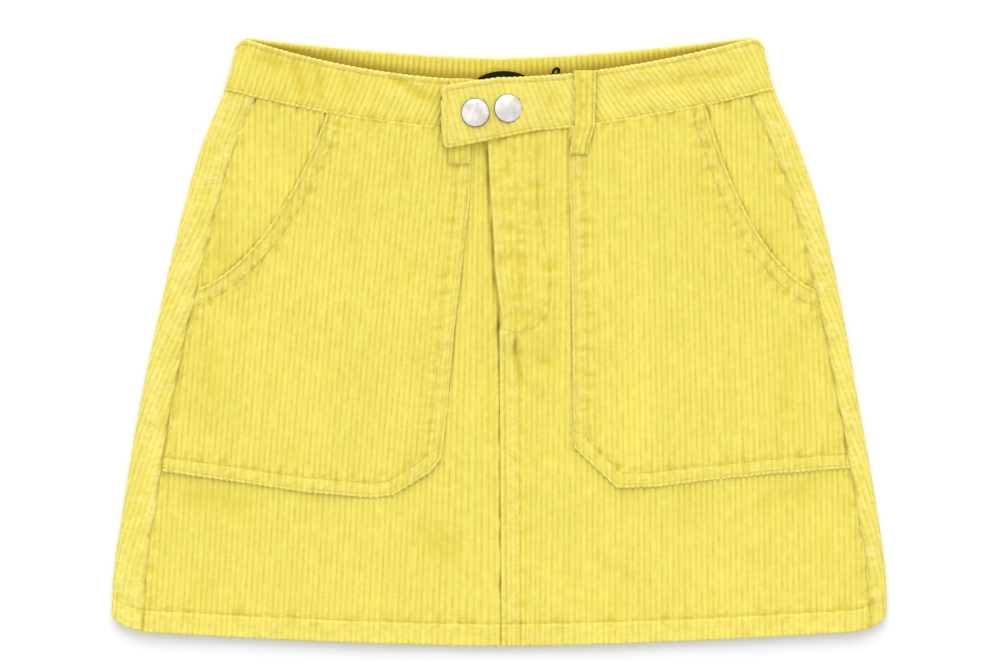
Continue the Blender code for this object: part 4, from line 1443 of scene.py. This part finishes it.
# ---------------------------------------------------------------- the whole


# Each sheet's flat cut, without seam allowances: width, length, area in square millimetres where it isn't a
# rectangle, and what it lies on
Sheet = namedtuple("Sheet", "node width length area on")


def ride(made, node):
    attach(made, "root")
    if node:
        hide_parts(node)
    return made


def build():
    cloth = corduroy()
    thread = plain("thread", THREAD_COLOUR, 0.75, grain=0.4, grain_scale=2500)
    # The dark rim metal is painted shade round the caps' outline
    metal, rim_shade = nickel(), plain("nickel_rim_shade", (0.22, 0.2, 0.17, 1), 0.4, 1.0)
    tape = plain("black_tape", (0.011, 0.009, 0.004, 1), 0.8, grain=0.5, specular=0.15)

    cuts = {
        "front_left": front_left_cut(),
        "front_right": front_right_cut(),
        "pocket_left": pocket_cut(POCKETS[0]),
        "pocket_right": pocket_cut(POCKETS[1]),
    }
    made, sewn = {}, {}
    for node, cut in cuts.items():
        made[node] = flat_piece(cut, cloth)
        sewn[node] = stitches(node + "_stitching", cut_runs(cut), thread)
    made["back_panel"] = back_panel(cloth)
    made["waistband"] = waistband(cloth)
    sewn["waistband"] = stitches("waistband_stitching", band_runs(), thread)
    for node, side, outline in (("loop_front_left", -1, LEFT_LOOP), ("loop_front_right", 1, RIGHT_LOOP)):
        made[node] = front_loop(node + "_cloth", side, outline, cloth)
        sewn[node] = stitches(node + "_stitching", loop_runs(outline, loop_face(side, outline)), thread)
    for node, x in BACK_LOOPS:
        made[node] = back_loop(node + "_cloth", x, cloth)
    made["fly_shield"] = slab(
        "fly_shield_cloth", *FLY_SHIELD, lambda x, y: front_face(x, y) - FLY_SHIELD_WALL, FLY_SHIELD_WALL, cloth
    )
    for node, piece in made.items():
        ride(piece, node)
    for piece in sewn.values():
        ride(piece, None)
    made["zip"] = ride(slab("zip_closed", *ZIP, front_face, ZIP_WALL, thread), "zip")
    made["label"] = ride(woven_label(tape), "label")
    made["hanger_tape"] = ride(hanger(tape), "hanger_tape")
    for cap in CAPS:
        ride(snap_cap(cap, metal, rim_shade), cap.name)


# In metres
CAMERA_HEIGHT, VIEW_WIDTH, VIEW_CENTRE = 4.0, 0.6552, (0.0036, 0.0039)
SENSOR = 36  # in millimetres


def key_light():
    """A broad soft light from over the waist."""
    data = bpy.data.lights.new("key", "SUN")
    data.energy = 1.7
    data.angle = math.radians(64)
    lamp = bpy.data.objects.new("key", data)
    bpy.context.scene.collection.objects.link(lamp)
    lamp.rotation_euler = Vector((0.04, -1.8, -1.0)).to_track_quat("-Z", "Y").to_euler()


def sky(tree):
    """A white studio, brightest overhead."""
    split = put(tree, "ShaderNodeSeparateXYZ", {0: put(tree, "ShaderNodeTexCoord", output="Generated")}, output="Z")
    colour = blend(tree, spread(tree, split, 0.0, 0.9), (0.35, 0.35, 0.37, 1), (1, 1, 1, 1))
    feed(tree, tree.nodes["Background"], {"Color": colour, "Strength": 1.06})


def studio():
    bm = bmesh.new()
    bmesh.ops.create_grid(bm, x_segments=1, y_segments=1, size=4.0)
    floor = add(new_mesh("floor", bm), plain("paper", (0.94, 0.945, 0.975, 1), 0.9))
    scene = bpy.context.scene
    world = bpy.data.worlds.new("studio")
    world.use_nodes = True
    sky(world.node_tree)
    scene.world = world
    key_light()
    scene.view_settings.view_transform = "Standard"
    camera = bpy.data.objects.new("camera", bpy.data.cameras.new("camera"))
    scene.collection.objects.link(camera)
    camera.location = (*VIEW_CENTRE, CAMERA_HEIGHT)
    camera.data.lens = SENSOR * CAMERA_HEIGHT / VIEW_WIDTH
    camera.data.sensor_width = SENSOR
    scene.camera = camera


build()
studio()
